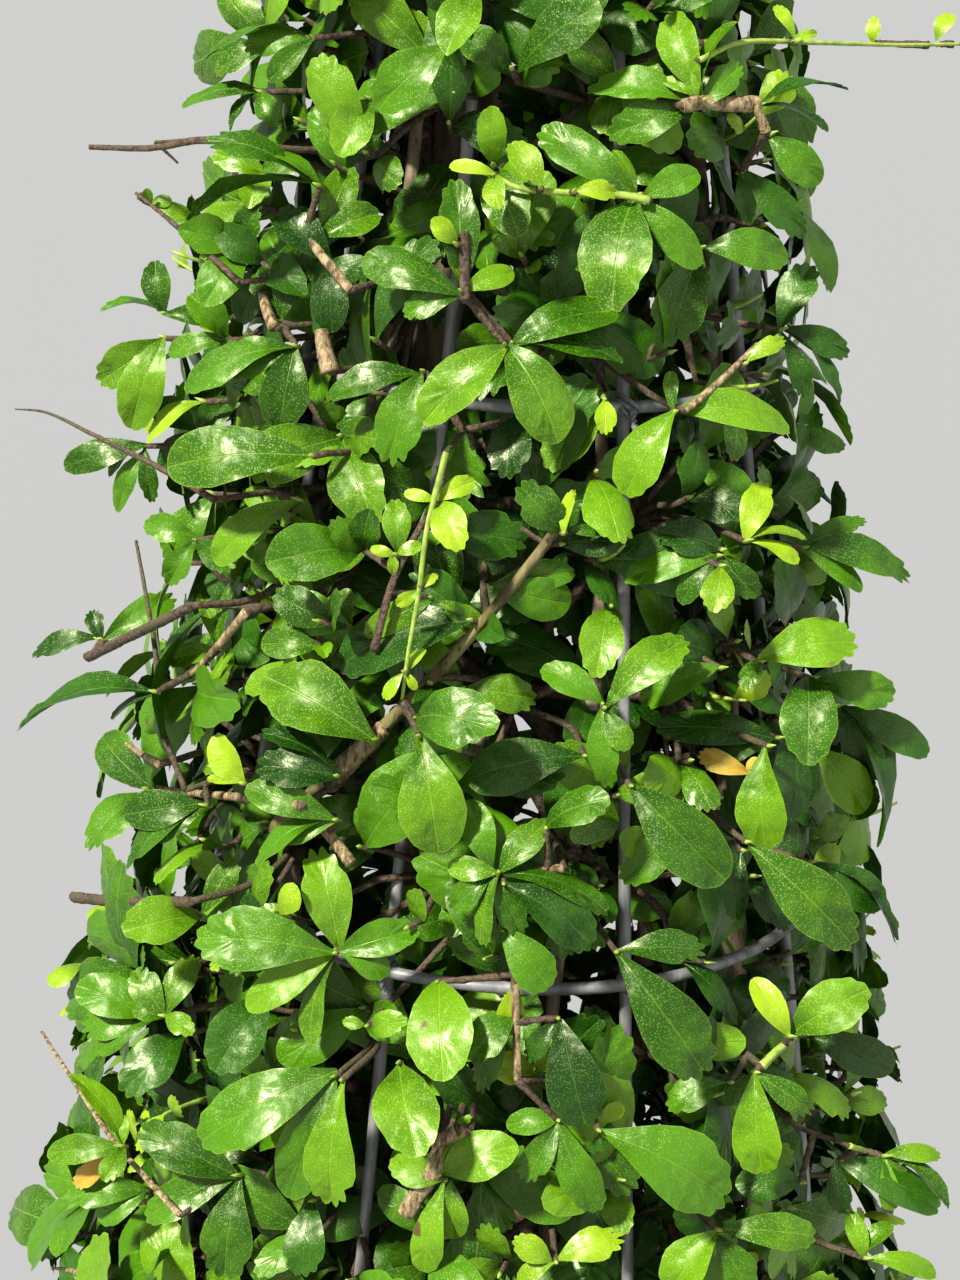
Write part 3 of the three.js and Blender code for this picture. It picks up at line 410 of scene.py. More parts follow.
# Stems in sight at the front: material, radius at the tip and at the foot, how far outside the wires, and its
# places in the photograph from the tip. The foot grows from the nearest wood.
FRONT_STEMS = {
    "bare twig": ("twigs", 0.8, 1.3, 44, (90, 147), (150, 148), (205, 140), (262, 148)),
    "its fork": ("twigs", 0.4, 0.7, 44, (178, 163), (164, 150), (155, 142)),
    "dark twig": ("twigs", 0.5, 1.1, 42, (136, 193), (160, 212), (195, 242), (240, 282)),
    "thorn": ("twigs", 0.2, 1.3, 44, (15, 409), (48, 413), (92, 434), (160, 468), (215, 500)),
    "upright twig": ("twigs", 0.6, 1.2, 40, (136, 541), (145, 590), (155, 650), (160, 720), (185, 790)),
    "thick cut twig": ("twigs", 1.9, 1.7, 46, (88, 657), (120, 641), (155, 624), (192, 606)),
    "flat tan twig": ("cut_wood", 1.0, 1.6, 38, (131, 784), (180, 792), (245, 798), (300, 806)),
    "dark stub": ("twigs", 1.9, 1.8, 44, (74, 897), (125, 902), (190, 902)),
    "long tan twig": ("cut_wood", 0.5, 1.0, 50, (42, 1032), (60, 1060), (86, 1100), (118, 1146), (180, 1215)),
    "low tan twig": ("cut_wood", 0.9, 1.1, 44, (42, 1211), (80, 1208), (122, 1203), (180, 1200)),
    "yellow shoot": ("green", 0.5, 0.95, 34, (402, 700), (408, 655), (419, 590), (427, 530), (446, 452)),
    "shoot beside it": ("twigs", 0.7, 1.2, 30, (444, 456), (440, 492), (416, 535), (392, 585), (374, 650)),
    "yellow stub": ("cut_wood", 0.9, 1.1, 40, (758, 345), (724, 378), (686, 411)),
    "top right stub": ("cut_wood", 2.4, 2.0, 40, (757, 104), (730, 104), (700, 102), (684, 106)),
    "hook": ("cut_wood", 1.8, 1.2, 42, (766, 132), (762, 120), (755, 106)),
    "top shoot": (
        "green", 0.5, 1.2, 40, (454, 164), (494, 176), (520, 188), (560, 192), (622, 195), (650, 200),
    ),
    "thin shoot": ("green", 0.5, 0.9, 42, (962, 44), (900, 45), (830, 43), (745, 42), (700, 60)),
    "upper stub": ("twigs", 1.5, 1.7, 34, (463, 232), (464, 262), (464, 300)),
    "left stub": ("cut_wood", 1.3, 1.5, 32, (283, 212), (312, 244), (350, 290)),
    "left knob": ("cut_wood", 1.6, 2.0, 32, (262, 294), (267, 310), (274, 328)),
    "tan knob": ("cut_wood", 2.0, 2.8, 32, (321, 330), (324, 348), (330, 372)),
    "split stub": ("cut_wood", 2.0, 1.8, 26, (351, 864), (338, 846), (320, 824)),
    "hanging stub": ("cut_wood", 1.2, 1.3, 32, (517, 1080), (516, 1030), (514, 984)),
    "thick stub": ("cut_wood", 2.7, 3.2, 30, (405, 1214), (424, 1184), (443, 1158), (470, 1130)),
    "bud stub": ("cut_wood", 2.4, 2.2, 32, (421, 1136), (440, 1140), (456, 1132)),
    "fan spur": ("cut_wood", 1.1, 1.4, 28, (494, 876), (530, 870), (564, 868)),
    "short green stem": ("green", 1.0, 1.5, 36, (797, 1035), (778, 1050), (762, 1066)),
    "low right stem": ("green", 0.5, 0.9, 42, (926, 1190), (900, 1172), (872, 1154), (850, 1146)),
    "scar": ("cut_wood", 2.6, 3.9, 18, (384, 727), (364, 746), (344, 765), (326, 782)),
    "dead curl": ("cut_wood", 0.4, 1.5, 40, (160, 682), (188, 676), (214, 650), (246, 612)),
    "dry flake": ("cut_wood", 0.5, 1.6, 40, (116, 736), (138, 752), (160, 764)),
    "low dry flake": ("cut_wood", 0.5, 1.4, 44, (52, 1268), (76, 1272), (104, 1284)),
}
# Stretches of a wire that nothing hides
OPEN_STRETCHES = [
    ((468, 90), (458, 240)),
    ((448, 310), (436, 480)),
    ((406, 830), (398, 910)),
    ((384, 990), (356, 1278)),
    ((727, 150), (756, 470)),
    ((795, 935), (814, 1250)),
]
# A leaf is at most so broad for its length, and one that shows narrower than the least is seen from its side
BROADEST = 0.6
NARROWEST = 0.34
FOOT_RUNS_IN = 26
AT_THE_STEM = 25
TO_THE_LIGHT = np.array([-0.14, 0.0, 0.3])


# Shapes shared with the solids


def smoothstep(value):
    t = np.clip(value, 0, 1)
    return t * t * (3 - 2 * t)


def lerp(a, b, t):
    return a + (b - a) * t


def unit(vector):
    return vector / np.linalg.norm(vector)


def turns_round(sides):
    return 2 * math.pi * np.arange(sides) / sides


def ring(radius, height, turns):
    """Points round the axis, from the front on."""
    return np.stack(np.broadcast_arrays(radius * np.sin(turns), -radius * np.cos(turns), height), axis=-1)


def frame_radius(height):
    return FRAME_TAPER * (APEX_HEIGHT - height)


def outward(azimuth):
    return np.array([math.sin(azimuth), -math.cos(azimuth), 0.0])


def around(azimuth):
    return np.array([math.cos(azimuth), math.sin(azimuth), 0.0])


def placed(azimuth, radius, height):
    return outward(azimuth) * radius + UP * height


def azimuth_of(point):
    return math.atan2(point[0], -point[1])


def crown_depth(azimuth, height):
    """How far the crown stands outside the wires: more on the left, and less towards the tip."""
    fade = smoothstep((CROWN_TOP + 60 - height) / 420)
    return (CROWN_DEPTH - CROWN_LEFT_EXTRA * np.sin(azimuth)) * (0.55 + 0.45 * fade)


def random_stream(seed):
    """The solids' own stream of numbers from 0 to 1, so that the wires bend alike."""
    mask = 0xFFFFFFFF
    state = seed & mask
    while True:
        state = (state + 0x6D2B79F5) & mask
        t = state
        t = ((t ^ (t >> 15)) * (t | 1)) & mask
        t ^= (t + (((t ^ (t >> 7)) * (t | 61)) & mask)) & mask
        yield (t ^ (t >> 14)) / 4294967296


def trunk_centre(height):
    turn = math.pi * min(max((height - GROUND) / (SWAY_ENDS_AT - GROUND), 0), 1)
    sway = TRUNK_SWAY * max(math.sin(turn), 0) ** 1.3
    wander = TRUNK_WANDER * math.sin(5 * turn) * math.sin(turn)
    return placed(TRUNK_SIDE, sway, height) + around(TRUNK_SIDE) * wander


def trunk_radius(height):
    t = (height - GROUND) / (TRUNK_TOP - GROUND)
    flare = ROOT_FLARE * math.exp(-(height - GROUND) / FLARE_FADES_IN)
    return lerp(TRUNK_FOOT_RADIUS, TRUNK_TIP_RADIUS, t) + flare


def trunk_line(steps):
    return np.array([trunk_centre(height) for height in np.linspace(GROUND, TRUNK_TOP, steps)])


def leader_line(leader, steps):
    points = []
    for height in np.linspace(leader["start"], leader["end"], steps):
        risen = height - leader["start"]
        turn = math.radians(leader["azimuth"]) + LEADER_WANDER * math.sin(risen / LEADER_WAVE)
        own = placed(turn, LEADER_SHARE * frame_radius(height), height)
        start = trunk_centre(leader["start"])
        start[2] = height
        points.append(lerp(start, own, smoothstep(risen / LEADER_SPREAD)))
    return np.array(points)


def bough_line(azimuth, start_height, steps):
    end = start_height + BOUGH_RISE
    tip = placed(azimuth, CORE_MIDDLE_SHARE * frame_radius(end), end)
    t = np.linspace(0, 1, steps)[:, None]
    return lerp(trunk_centre(start_height), tip, t) + UP * BOUGH_ARCH * np.sin(math.pi * t)


def crossing_line(steps):
    left = leader_line(LEADERS["leader_left"], 400)
    start = left[np.argmin(np.abs(left[:, 2] - CROSSING_FROM))]
    start_radius = math.hypot(start[0], start[1])
    points = []
    for t in np.linspace(0, 1, steps):
        height = CROSSING_FROM + CROSSING_RISE * t**1.15
        outside = frame_radius(height) + CROSSING_STANDS_OUT
        radius = lerp(start_radius, outside, smoothstep(4 * t))
        points.append(placed(azimuth_of(start) + CROSSING_TURN * t, radius, height))
    return np.array(points)


def ring_height(index):
    return LOWEST_RING + RING_SPACING * index


def ring_radius(index):
    return frame_radius(ring_height(index)) + 2 * WIRE_RADIUS + CLEARANCE


def upright_azimuth(index):
    return FIRST_UPRIGHT + 2 * math.pi * index / UPRIGHTS


def tier_edge(tier, azimuth):
    if tier == 0:
        return CROWN_FOOT
    if tier > len(TIERS):
        return CROWN_TOP
    height = TIP_FROM if tier == len(TIERS) else ring_height(tier)
    return height + TIER_WAVE * math.sin(3 * azimuth + 1.7 * tier)


def sector_edge(tier, sector, height):
    sectors = TIERS[tier]["sectors"]
    wave = math.sin(height / SECTOR_WAVE_LENGTH + (sector % sectors))
    return math.radians(TIERS[tier]["first"]) + 2 * math.pi * sector / sectors + SECTOR_WAVE * wave


def azimuth_across(tier, sector, height, share):
    return lerp(sector_edge(tier, sector, height), sector_edge(tier, sector + 1, height), share)


# Meshes


class Shape:
    """Gathers the vertices and faces of one joined piece."""

    def __init__(self):
        self.points = []
        self.corners = []
        self.sizes = []
        self.count = 0

    def add(self, points, faces):
        self.points.append(points)
        self.corners.append((faces + self.count).ravel())
        self.sizes.append(np.full(len(faces), faces.shape[1]))
        self.count += len(points)

    def add_rings(self, rings, closed=False):
        """Joins rings of points, into a loop if closed, and else with a flat cap at both ends."""
        count, sides = rings.shape[:2]
        rows = np.arange(count if closed else count - 1)[:, None]
        columns = np.arange(sides)
        after = (rows + 1) % count
        beside = (columns + 1) % sides
        corners = [(rows, columns), (rows, beside), (after, beside), (after, columns)]
        quads = np.stack([row * sides + column for row, column in corners], axis=-1)
        first = self.count
        self.add(rings.reshape(-1, 3), quads.reshape(-1, 4))
        if not closed:
            caps = np.array([columns[::-1], (count - 1) * sides + columns])
            self.corners.append((caps + first).ravel())
            self.sizes.append(np.full(2, sides))

    def mesh(self, name):
        points = np.concatenate(self.points) * MM
        corners = np.concatenate(self.corners).astype(np.int32)
        sizes = np.concatenate(self.sizes)
        mesh = bpy.data.meshes.new(name)
        mesh.vertices.add(len(points))
        mesh.vertices.foreach_set("co", points.astype(np.float32).ravel())
        mesh.loops.add(len(corners))
        mesh.loops.foreach_set("vertex_index", corners)
        mesh.polygons.add(len(sizes))
        starts = np.concatenate([[0], np.cumsum(sizes)[:-1]]).astype(np.int32)
        mesh.polygons.foreach_set("loop_start", starts)
        mesh.update(calc_edges=True)
        mesh.shade_smooth()
        return mesh


def add_object(name, data):
    made = bpy.data.objects.new(name, data)
    bpy.context.scene.collection.objects.link(made)
    return made


def add_piece(name, mesh, material, replaced=()):
    piece = add_object(name, mesh)
    mesh.materials.append(material)
    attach(piece, "root")
    if replaced:
        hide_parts(*replaced)
    return piece


def add_shape(name, shape, material, replaced=()):
    return add_piece(name, shape.mesh(name), material, replaced)


def across_frames(points):
    """Two directions across a line at each of its points, which don't twist along it."""
    along = np.gradient(points, axis=0)
    along /= np.linalg.norm(along, axis=1)[:, None]
    first = np.cross(along[0], UP if abs(along[0][2]) < 0.9 else np.array([1.0, 0.0, 0.0]))
    sides = [unit(first)]
    for direction in along[1:]:
        sides.append(unit(sides[-1] - direction * np.dot(sides[-1], direction)))
    sides = np.array(sides)
    return sides, np.cross(along, sides)


def sweep(shape, points, radii, sides, relief=0.0, closed=False):
    """Adds a round limb along points, with one radius or one for each. Relief is a share of the radius."""
    points = np.asarray(points, float)
    first, second = across_frames(points)
    turns = turns_round(sides)
    reach = np.asarray(radii, float).reshape(-1, 1) * (1 + relief)
    skin = (
        points[:, None]
        + first[:, None] * (reach * np.cos(turns))[..., None]
        + second[:, None] * (reach * np.sin(turns))[..., None]
    )
    shape.add_rings(skin, closed)


def add_stem(shape, line, stem, random):
    """Adds a stem of one kind, whose skin is uneven if that kind's is."""
    start_radius, end_radius, sides, uneven = stem
    relief = uneven * random.normal(0, 1, (len(line), sides)) if uneven else 0.0
    sweep(shape, line, np.linspace(start_radius, end_radius, len(line)), sides, relief)


def smooth_line(points, steps):
    """A Catmull-Rom curve through points."""
    points = np.asarray(points, float)
    padded = np.concatenate([[2 * points[0] - points[1]], points, [2 * points[-1] - points[-2]]])
    places = np.linspace(0, len(points) - 1, steps)
    spans = np.minimum(places.astype(int), len(points) - 2)
    t = (places - spans)[:, None]
    a, b, c, d = (padded[spans + k] for k in range(4))
    return 0.5 * (2 * b + (c - a) * t + (2 * a - 5 * b + 4 * c - d) * t**2 + (3 * b - a - 3 * c + d) * t**3)


# Materials


class Paint:
    """A material's nodes, with short names for the few kinds that are used here."""

    def __init__(self, name):
        self.material = bpy.data.materials.new(name)
        self.material.use_nodes = True
        self.tree = self.material.node_tree
        self.shader = self.tree.nodes["Principled BSDF"]
        self.place = self.node("ShaderNodeTexCoord").outputs["Object"]

    def node(self, kind, **settings):
        made = self.tree.nodes.new(kind)
        for name, value in settings.items():
            setattr(made, name, value)
        return made

    def feed(self, socket, value):
        if isinstance(value, bpy.types.NodeSocket):
            self.tree.links.new(value, socket)
        elif isinstance(value, tuple) and len(value) == 3 and socket.type == "RGBA":
            socket.default_value = (*value, 1)
        else:
            socket.default_value = value

    def made(self, kind, output, inputs, **settings):
        """A new node's output, once its inputs are fed."""
        node = self.node(kind, **settings)
        for name, value in inputs.items():
            self.feed(node.inputs[name], value)
        return node.outputs[output]

    def stretched(self, scale):
        return self.made("ShaderNodeMapping", "Vector", {"Vector": self.place, "Scale": scale})

    def noise(self, scale, detail=3.0, roughness=0.55, place=None):
        inputs = {"Vector": place or self.place, "Scale": scale, "Detail": detail, "Roughness": roughness}
        return self.made("ShaderNodeTexNoise", "Fac", inputs)

    def cells(self, scale, place=None):
        return self.made("ShaderNodeTexVoronoi", "Distance", {"Vector": place or self.place, "Scale": scale})

    def attribute(self, name):
        return self.made("ShaderNodeAttribute", "Fac", {}, attribute_name=name)

    def math(self, operation, a, b=0.0):
        return self.made("ShaderNodeMath", 0, {0: a, 1: b}, operation=operation)

    def scaled(self, pattern, share):
        return self.math("MULTIPLY", pattern, share)

    def fit(self, value, low, high, to_low=0.0, to_high=1.0):
        """A pattern that passes smoothly from one value to another."""
        inputs = {"Value": value, "From Min": low, "From Max": high, "To Min": to_low, "To Max": to_high}
        return self.made("ShaderNodeMapRange", "Result", inputs, interpolation_type="SMOOTHSTEP")

    def mix(self, share, a, b):
        return self.made("ShaderNodeMix", "Result", {"Factor": share, "A": a, "B": b}, data_type="RGBA")

    def cover(self, colour, other, pattern, low, high, share=1.0):
        """Lays another colour over the first where a pattern passes from low to high."""
        return self.mix(self.fit(pattern, low, high, 0.0, share), colour, other)

    def relief(self, *layers):
        """Bumps over bumps. Each layer has its pattern, strength and height in metres."""
        normal = None
        for pattern, strength, distance in layers:
            inputs = {"Height": pattern, "Strength": strength, "Distance": distance}
            if normal:
                inputs["Normal"] = normal
            normal = self.made("ShaderNodeBump", "Normal", inputs)
        return normal

    def finish(self, colour, rough, relief=None, **others):
        inputs = {"Base_Color": colour, "Roughness": rough, **others}
        if relief:
            inputs["Normal"] = relief
        for name, value in inputs.items():
            self.feed(self.shader.inputs[name.replace("_", " ")], value)
        return self.material


def leaf_material(name, deep, light, rib):
    """A glossy, mottled leaf, darker at its foot, with a faint midrib, fine pale dots and a pale rim."""
    paint = Paint(name)
    blade = paint.node("ShaderNodeUVMap", uv_map="blade").outputs["UV"]
    split = paint.node("ShaderNodeSeparateXYZ")
    paint.feed(split.inputs[0], blade)
    across, along = split.outputs[0], split.outputs[1]
    from_rib = paint.math("ABSOLUTE", paint.math("SUBTRACT", across, 0.5))
    tint = paint.attribute("tint")
    tone = paint.math("ADD", paint.scaled(paint.noise(75, 5, 0.6), 0.9), paint.scaled(tint, 0.55))
    tone = paint.math("ADD", tone, paint.fit(along, 0.0, 0.7, -0.16, 0.06))
    colour = paint.cover(deep, light, tone, 0.42, 0.98)
    dots = paint.fit(paint.cells(1450), 0.2, 0.38, 1.0, 0.0)
    colour = paint.mix(paint.scaled(dots, 0.46), colour, rib)
    middle = paint.fit(from_rib, 0.006, 0.02, 1.0, 0.0)
    colour = paint.mix(paint.scaled(middle, 0.26), colour, rib)
    scarred = paint.fit(tint, 0.95, 0.96)
    scars = paint.math("MULTIPLY", paint.fit(paint.noise(60, 3), 0.63, 0.68), scarred)
    colour = paint.mix(scars, colour, SCAR)
    colour = paint.cover(colour, rib, paint.attribute("edge"), 0.95, 1.0, 0.28)
    slope = paint.math("SUBTRACT", along, paint.scaled(from_rib, 0.85))
    slope = paint.math("ADD", slope, paint.scaled(paint.noise(130, 2), 0.12))
    veins = paint.fit(paint.math("SINE", paint.scaled(slope, 42.0)), 0.5, 1.0)
    relief = paint.relief(
        (paint.noise(75, 2), 0.6, 0.0036),
        (paint.noise(520, 3, 0.6), 0.26, 0.0005),
        (paint.math("ADD", paint.scaled(veins, 0.06), middle), 0.4, -0.0005),
        (dots, 0.3, 0.0002),
    )
    gloss = paint.fit(paint.noise(120, 2), 0.25, 0.75, 0.27, 0.43)
    return paint.finish(colour, gloss, relief, Specular_IOR_Level=0.5, Specular_Tint=LEAF_SHEEN)


def bark_material(name, cracks, ridges, worn):
    """Bark with long cracks, pale patches and dark pits."""
    paint = Paint(name)
    grain = paint.noise(160, 5, 0.6, paint.stretched((1, 1, 0.16)))
    pits = paint.fit(paint.cells(330, paint.stretched((1, 1, 0.5))), 0.1, 0.24, 1.0, 0.0)
    colour = paint.cover(cracks, ridges, grain, 0.32, 0.68)
    colour = paint.cover(colour, worn, paint.noise(38, 3), 0.5, 0.7, 0.6)
    colour = paint.mix(paint.scaled(pits, 0.6), colour, (0.03, 0.02, 0.013))
    relief = paint.relief((grain, 0.9, 0.0022), (pits, 0.5, -0.0006))
    return paint.finish(colour, paint.fit(grain, 0.2, 0.8, 0.95, 0.72), relief)


def twig_material():
    """Thin woody shoots, redder and smoother than the old bark."""
    paint = Paint("twig")
    grain = paint.noise(700, 4, 0.65)
    colour = paint.cover((0.028, 0.017, 0.01), (0.15, 0.1, 0.055), grain, 0.3, 0.7)
    colour = paint.cover(colour, (0.11, 0.1, 0.045), paint.noise(45, 2), 0.45, 0.7, 0.6)
    relief = paint.relief((grain, 1.0, 0.0011))
    return paint.finish(colour, paint.fit(grain, 0.2, 0.8, 0.85, 0.6), relief)


def cut_wood_material():
    """Dry tan wood where a stem was cut or a leaf died."""
    paint = Paint("cut_wood")
    grain = paint.noise(520, 5, 0.7, paint.stretched((1, 1, 0.25)))
    colour = paint.cover((0.1, 0.06, 0.025), (0.52, 0.39, 0.2), grain, 0.36, 0.64)
    relief = paint.relief((grain, 1.0, 0.0014))
    return paint.finish(colour, paint.fit(grain, 0.2, 0.8, 0.9, 0.7), relief)


def green_stem_material():
    """Soft new stems and buds, yellow-green and mottled."""
    paint = Paint("green_stem")
    mottle = paint.noise(300, 3)
    colour = paint.cover((0.2, 0.33, 0.035), (0.42, 0.52, 0.09), mottle, 0.3, 0.7)
    relief = paint.relief((mottle, 0.4, 0.0004))
    return paint.finish(colour, paint.fit(mottle, 0.2, 0.8, 0.45, 0.6), relief)


def wire_material():
    """Weathered grey wire: a dull zinc skin with brighter streaks and dark grime."""
    paint = Paint("wire")
    streaks = paint.noise(240, 4, 0.6, paint.stretched((1, 1, 0.25)))
    grime = paint.noise(85, 4, 0.65)
    colour = paint.cover((0.2, 0.2, 0.195), (0.37, 0.365, 0.35), streaks, 0.3, 0.7)
    colour = paint.cover(colour, (0.12, 0.11, 0.095), grime, 0.5, 0.75, 0.7)
    relief = paint.relief((streaks, 0.5, 0.0004))
    return paint.finish(colour, paint.fit(grime, 0.3, 0.7, 0.42, 0.66), relief, Metallic=0.25)


def clay_material():
    """Fired clay with a mineral bloom, fine grit and turning marks."""
    paint = Paint("clay")
    grit = paint.noise(620, 4, 0.7)
    turning = paint.noise(6, 2, 0.5, paint.stretched((1, 1, 55)))
    colour = paint.cover((0.36, 0.135, 0.062), (0.52, 0.225, 0.115), paint.noise(11, 5, 0.6), 0.3, 0.7)
    colour = paint.cover(colour, (0.4, 0.16, 0.08), turning, 0.35, 0.7, 0.35)
    colour = paint.cover(colour, (0.56, 0.4, 0.3), paint.noise(17, 6, 0.72), 0.48, 0.78, 0.42)
    colour = paint.cover(colour, (0.2, 0.08, 0.045), grit, 0.62, 0.75, 0.4)
    relief = paint.relief((turning, 0.35, 0.0012), (grit, 0.4, 0.0005))
    return paint.finish(colour, paint.fit(grit, 0.2, 0.8, 0.95, 0.8), relief)


def soil_material():
    """Dark crumbly potting soil with paler fibres."""
    paint = Paint("soil")
    crumb = paint.noise(210, 6, 0.7)
    fibre = paint.noise(150, 4, 0.7, paint.stretched((1, 4, 1)))
    colour = paint.cover((0.014, 0.009, 0.006), (0.075, 0.048, 0.03), crumb, 0.3, 0.7)
    colour = paint.cover(colour, (0.17, 0.11, 0.065), fibre, 0.6, 0.72, 0.5)
    relief = paint.relief((crumb, 1.0, 0.002))
    return paint.finish(colour, paint.fit(crumb, 0.2, 0.8, 1.0, 0.85), relief)


# Leaves


def blade_pattern():
    """The net of one blade: wedge rows up to its widest place, then two arcs round the lobed end.

    Each vertex has its row share, its side from -1 to 1, its angle and reach on the arcs, and whether it is
    on one of them."""
    wedge = [(row, side, 0.0, 0.0, 0) for row in WEDGE_ROWS for side in WEDGE_COLUMNS]
    arc = [-SHOULDER, *np.linspace(-LOBES_FROM, LOBES_FROM, LOBES * LOBE_STEPS + 1), SHOULDER]
    arcs = [(1.0, 0.0, angle, reach, 1) for reach in (0.5, 1.0) for angle in arc]
    columns = len(WEDGE_COLUMNS)
    last = columns * (len(WEDGE_ROWS) - 1)
    faces = []
    for start in range(0, last, columns):
        for a in range(start, start + columns - 1):
            faces += [(a, a + 1, a + columns + 1), (a, a + columns + 1, a + columns)]
    inner = [last + 1] + [len(wedge) + k for k in range(len(arc))] + [last + 3]
    outer = [last] + [len(wedge) + len(arc) + k for k in range(len(arc))] + [last + 4]
    centre = last + 2
    for k in range(len(inner) - 1):
        faces += [(centre, inner[k + 1], inner[k])]
        faces += [(inner[k], inner[k + 1], outer[k + 1]), (inner[k], outer[k + 1], outer[k])]
    return np.array(wedge + arcs), np.array(faces)


class Leaves:
    """Gathers the leaves of one colour. Every leaf gets an outline, a fold and a droop of its own."""

    def __init__(self, seed):
        self.rows = []
        self.random = np.random.default_rng(seed)

    def add(self, root, along, facing, length, width, fold, droop, tint):
        self.rows.append((*root, *along, *facing, length, width, fold, droop, tint))

    def meshes(self, name):
        """Joins the leaves into as many named meshes as keep each under the most triangles."""
        pattern, faces = blade_pattern()
        rows = np.array(self.rows)
        rows = rows[np.argsort(rows[:, 2], kind="stable")]
        parts = math.ceil(len(rows) * len(faces) / MOST_TRIANGLES)
        titles = [name] if parts == 1 else [f"{name}_{number + 1}" for number in range(parts)]
        shares = np.array_split(rows, parts)
        return {title: self.mesh(title, share, pattern, faces) for title, share in zip(titles, shares)}

    def outline(self, pattern, half, length):
        """Places the pattern's vertices on flat blades with lobed ends, no two of them alike."""
        random = self.random
        count = len(length)
        row, side, angle, reach, on_arc = pattern
        widest = random.uniform(0.58, 0.71, (count, 1))
        swell = random.uniform(0.95, 1.35, (count, 1))
        wedge = PETIOLE_SHARE + (1 - PETIOLE_SHARE) * np.sin(0.5 * math.pi * row) ** swell
        lobe = (angle + LOBES_FROM) / (2 * LOBES_FROM) * LOBES
        toothed = 0.3 * random.random((count, 1)) ** 1.3
        notch_depths = toothed * random.uniform(0.3, 1, (count, LOBES + 1))
        closest = np.clip(np.round(lobe).astype(int), 0, LOBES)[0]
        at_notch = (1 - 2 * np.abs(lobe - np.round(lobe))) ** 1.4 * (np.abs(angle) <= LOBES_FROM)
        bite = 1 - notch_depths[:, closest] * at_notch * (reach > 0.9)
        bite = bite - 0.05 * (1 - np.cos(angle)) * on_arc
        x = np.where(on_arc > 0, half * np.sin(angle) * reach * bite, half * side * wedge)
        y = length * np.where(on_arc > 0, widest + (1 - widest) * np.cos(angle) * reach * bite, widest * row)
        return x, y

    def relief(self, x, share, half, length, fold, droop, wave):
        """How far a blade's vertices stand out of its plane: fold, curled margins, arch, droop and waves."""
        random = self.random
        curl = random.uniform(0.15, 0.5, (len(length), 1))
        z = fold * np.abs(x) - curl * half * (np.abs(x) / half) ** 2.6
        z = z + 0.12 * length * np.sin(math.pi * share) - droop * length * share**2.1
        z = z + 0.045 * length * np.sin(5 * share + wave) * x / half
        return z + random.normal(0, 0.006, x.shape) * length * share

    def mesh(self, name, rows, pattern, faces):
        """Bends a copy of the pattern into each leaf, and stores what the leaf material reads."""
        count = len(rows)
        pattern = [column[None] for column in pattern.T]
        root, along, facing = rows[:, 0:3], rows[:, 3:6], rows[:, 6:9]
        length, width, fold, droop, tint = (rows[:, k][:, None] for k in range(9, 14))
        half = 0.5 * width * length
        x, y = self.outline(pattern, half, length)
        share = y / length
        bent = x + self.random.uniform(-0.06, 0.06, (count, 1)) * length * share**2
        wave = self.random.uniform(0, 2 * math.pi, (count, 1))
        z = self.relief(x, share, half, length, fold, droop, wave)
        points = (
            root[:, None]
            + np.cross(along, facing)[:, None] * bent[..., None]
            + along[:, None] * y[..., None]
            + facing[:, None] * z[..., None]
        )
        numbered = faces[None] + (np.arange(count) * x.shape[1])[:, None, None]
        shape = Shape()
        shape.add(points.reshape(-1, 3), numbered.reshape(-1, 3))
        mesh = shape.mesh(name)
        _, side, _, reach, on_arc = pattern
        for title, values in {"edge": np.where(on_arc > 0, reach, np.abs(side)), "tint": tint}.items():
            stored = mesh.attributes.new(title, "FLOAT", "POINT")
            stored.data.foreach_set("value", np.broadcast_to(values, x.shape).astype(np.float32).ravel())
        blade = np.stack([0.5 + 0.5 * x / half, share], axis=-1).reshape(-1, 2)
        corners = np.empty(len(mesh.loops), np.int32)
        mesh.loops.foreach_get("vertex_index", corners)
        layer = mesh.uv_layers.new(name="blade")
        layer.data.foreach_set("uv", blade[corners].astype(np.float32).ravel())
        return mesh


# Growth


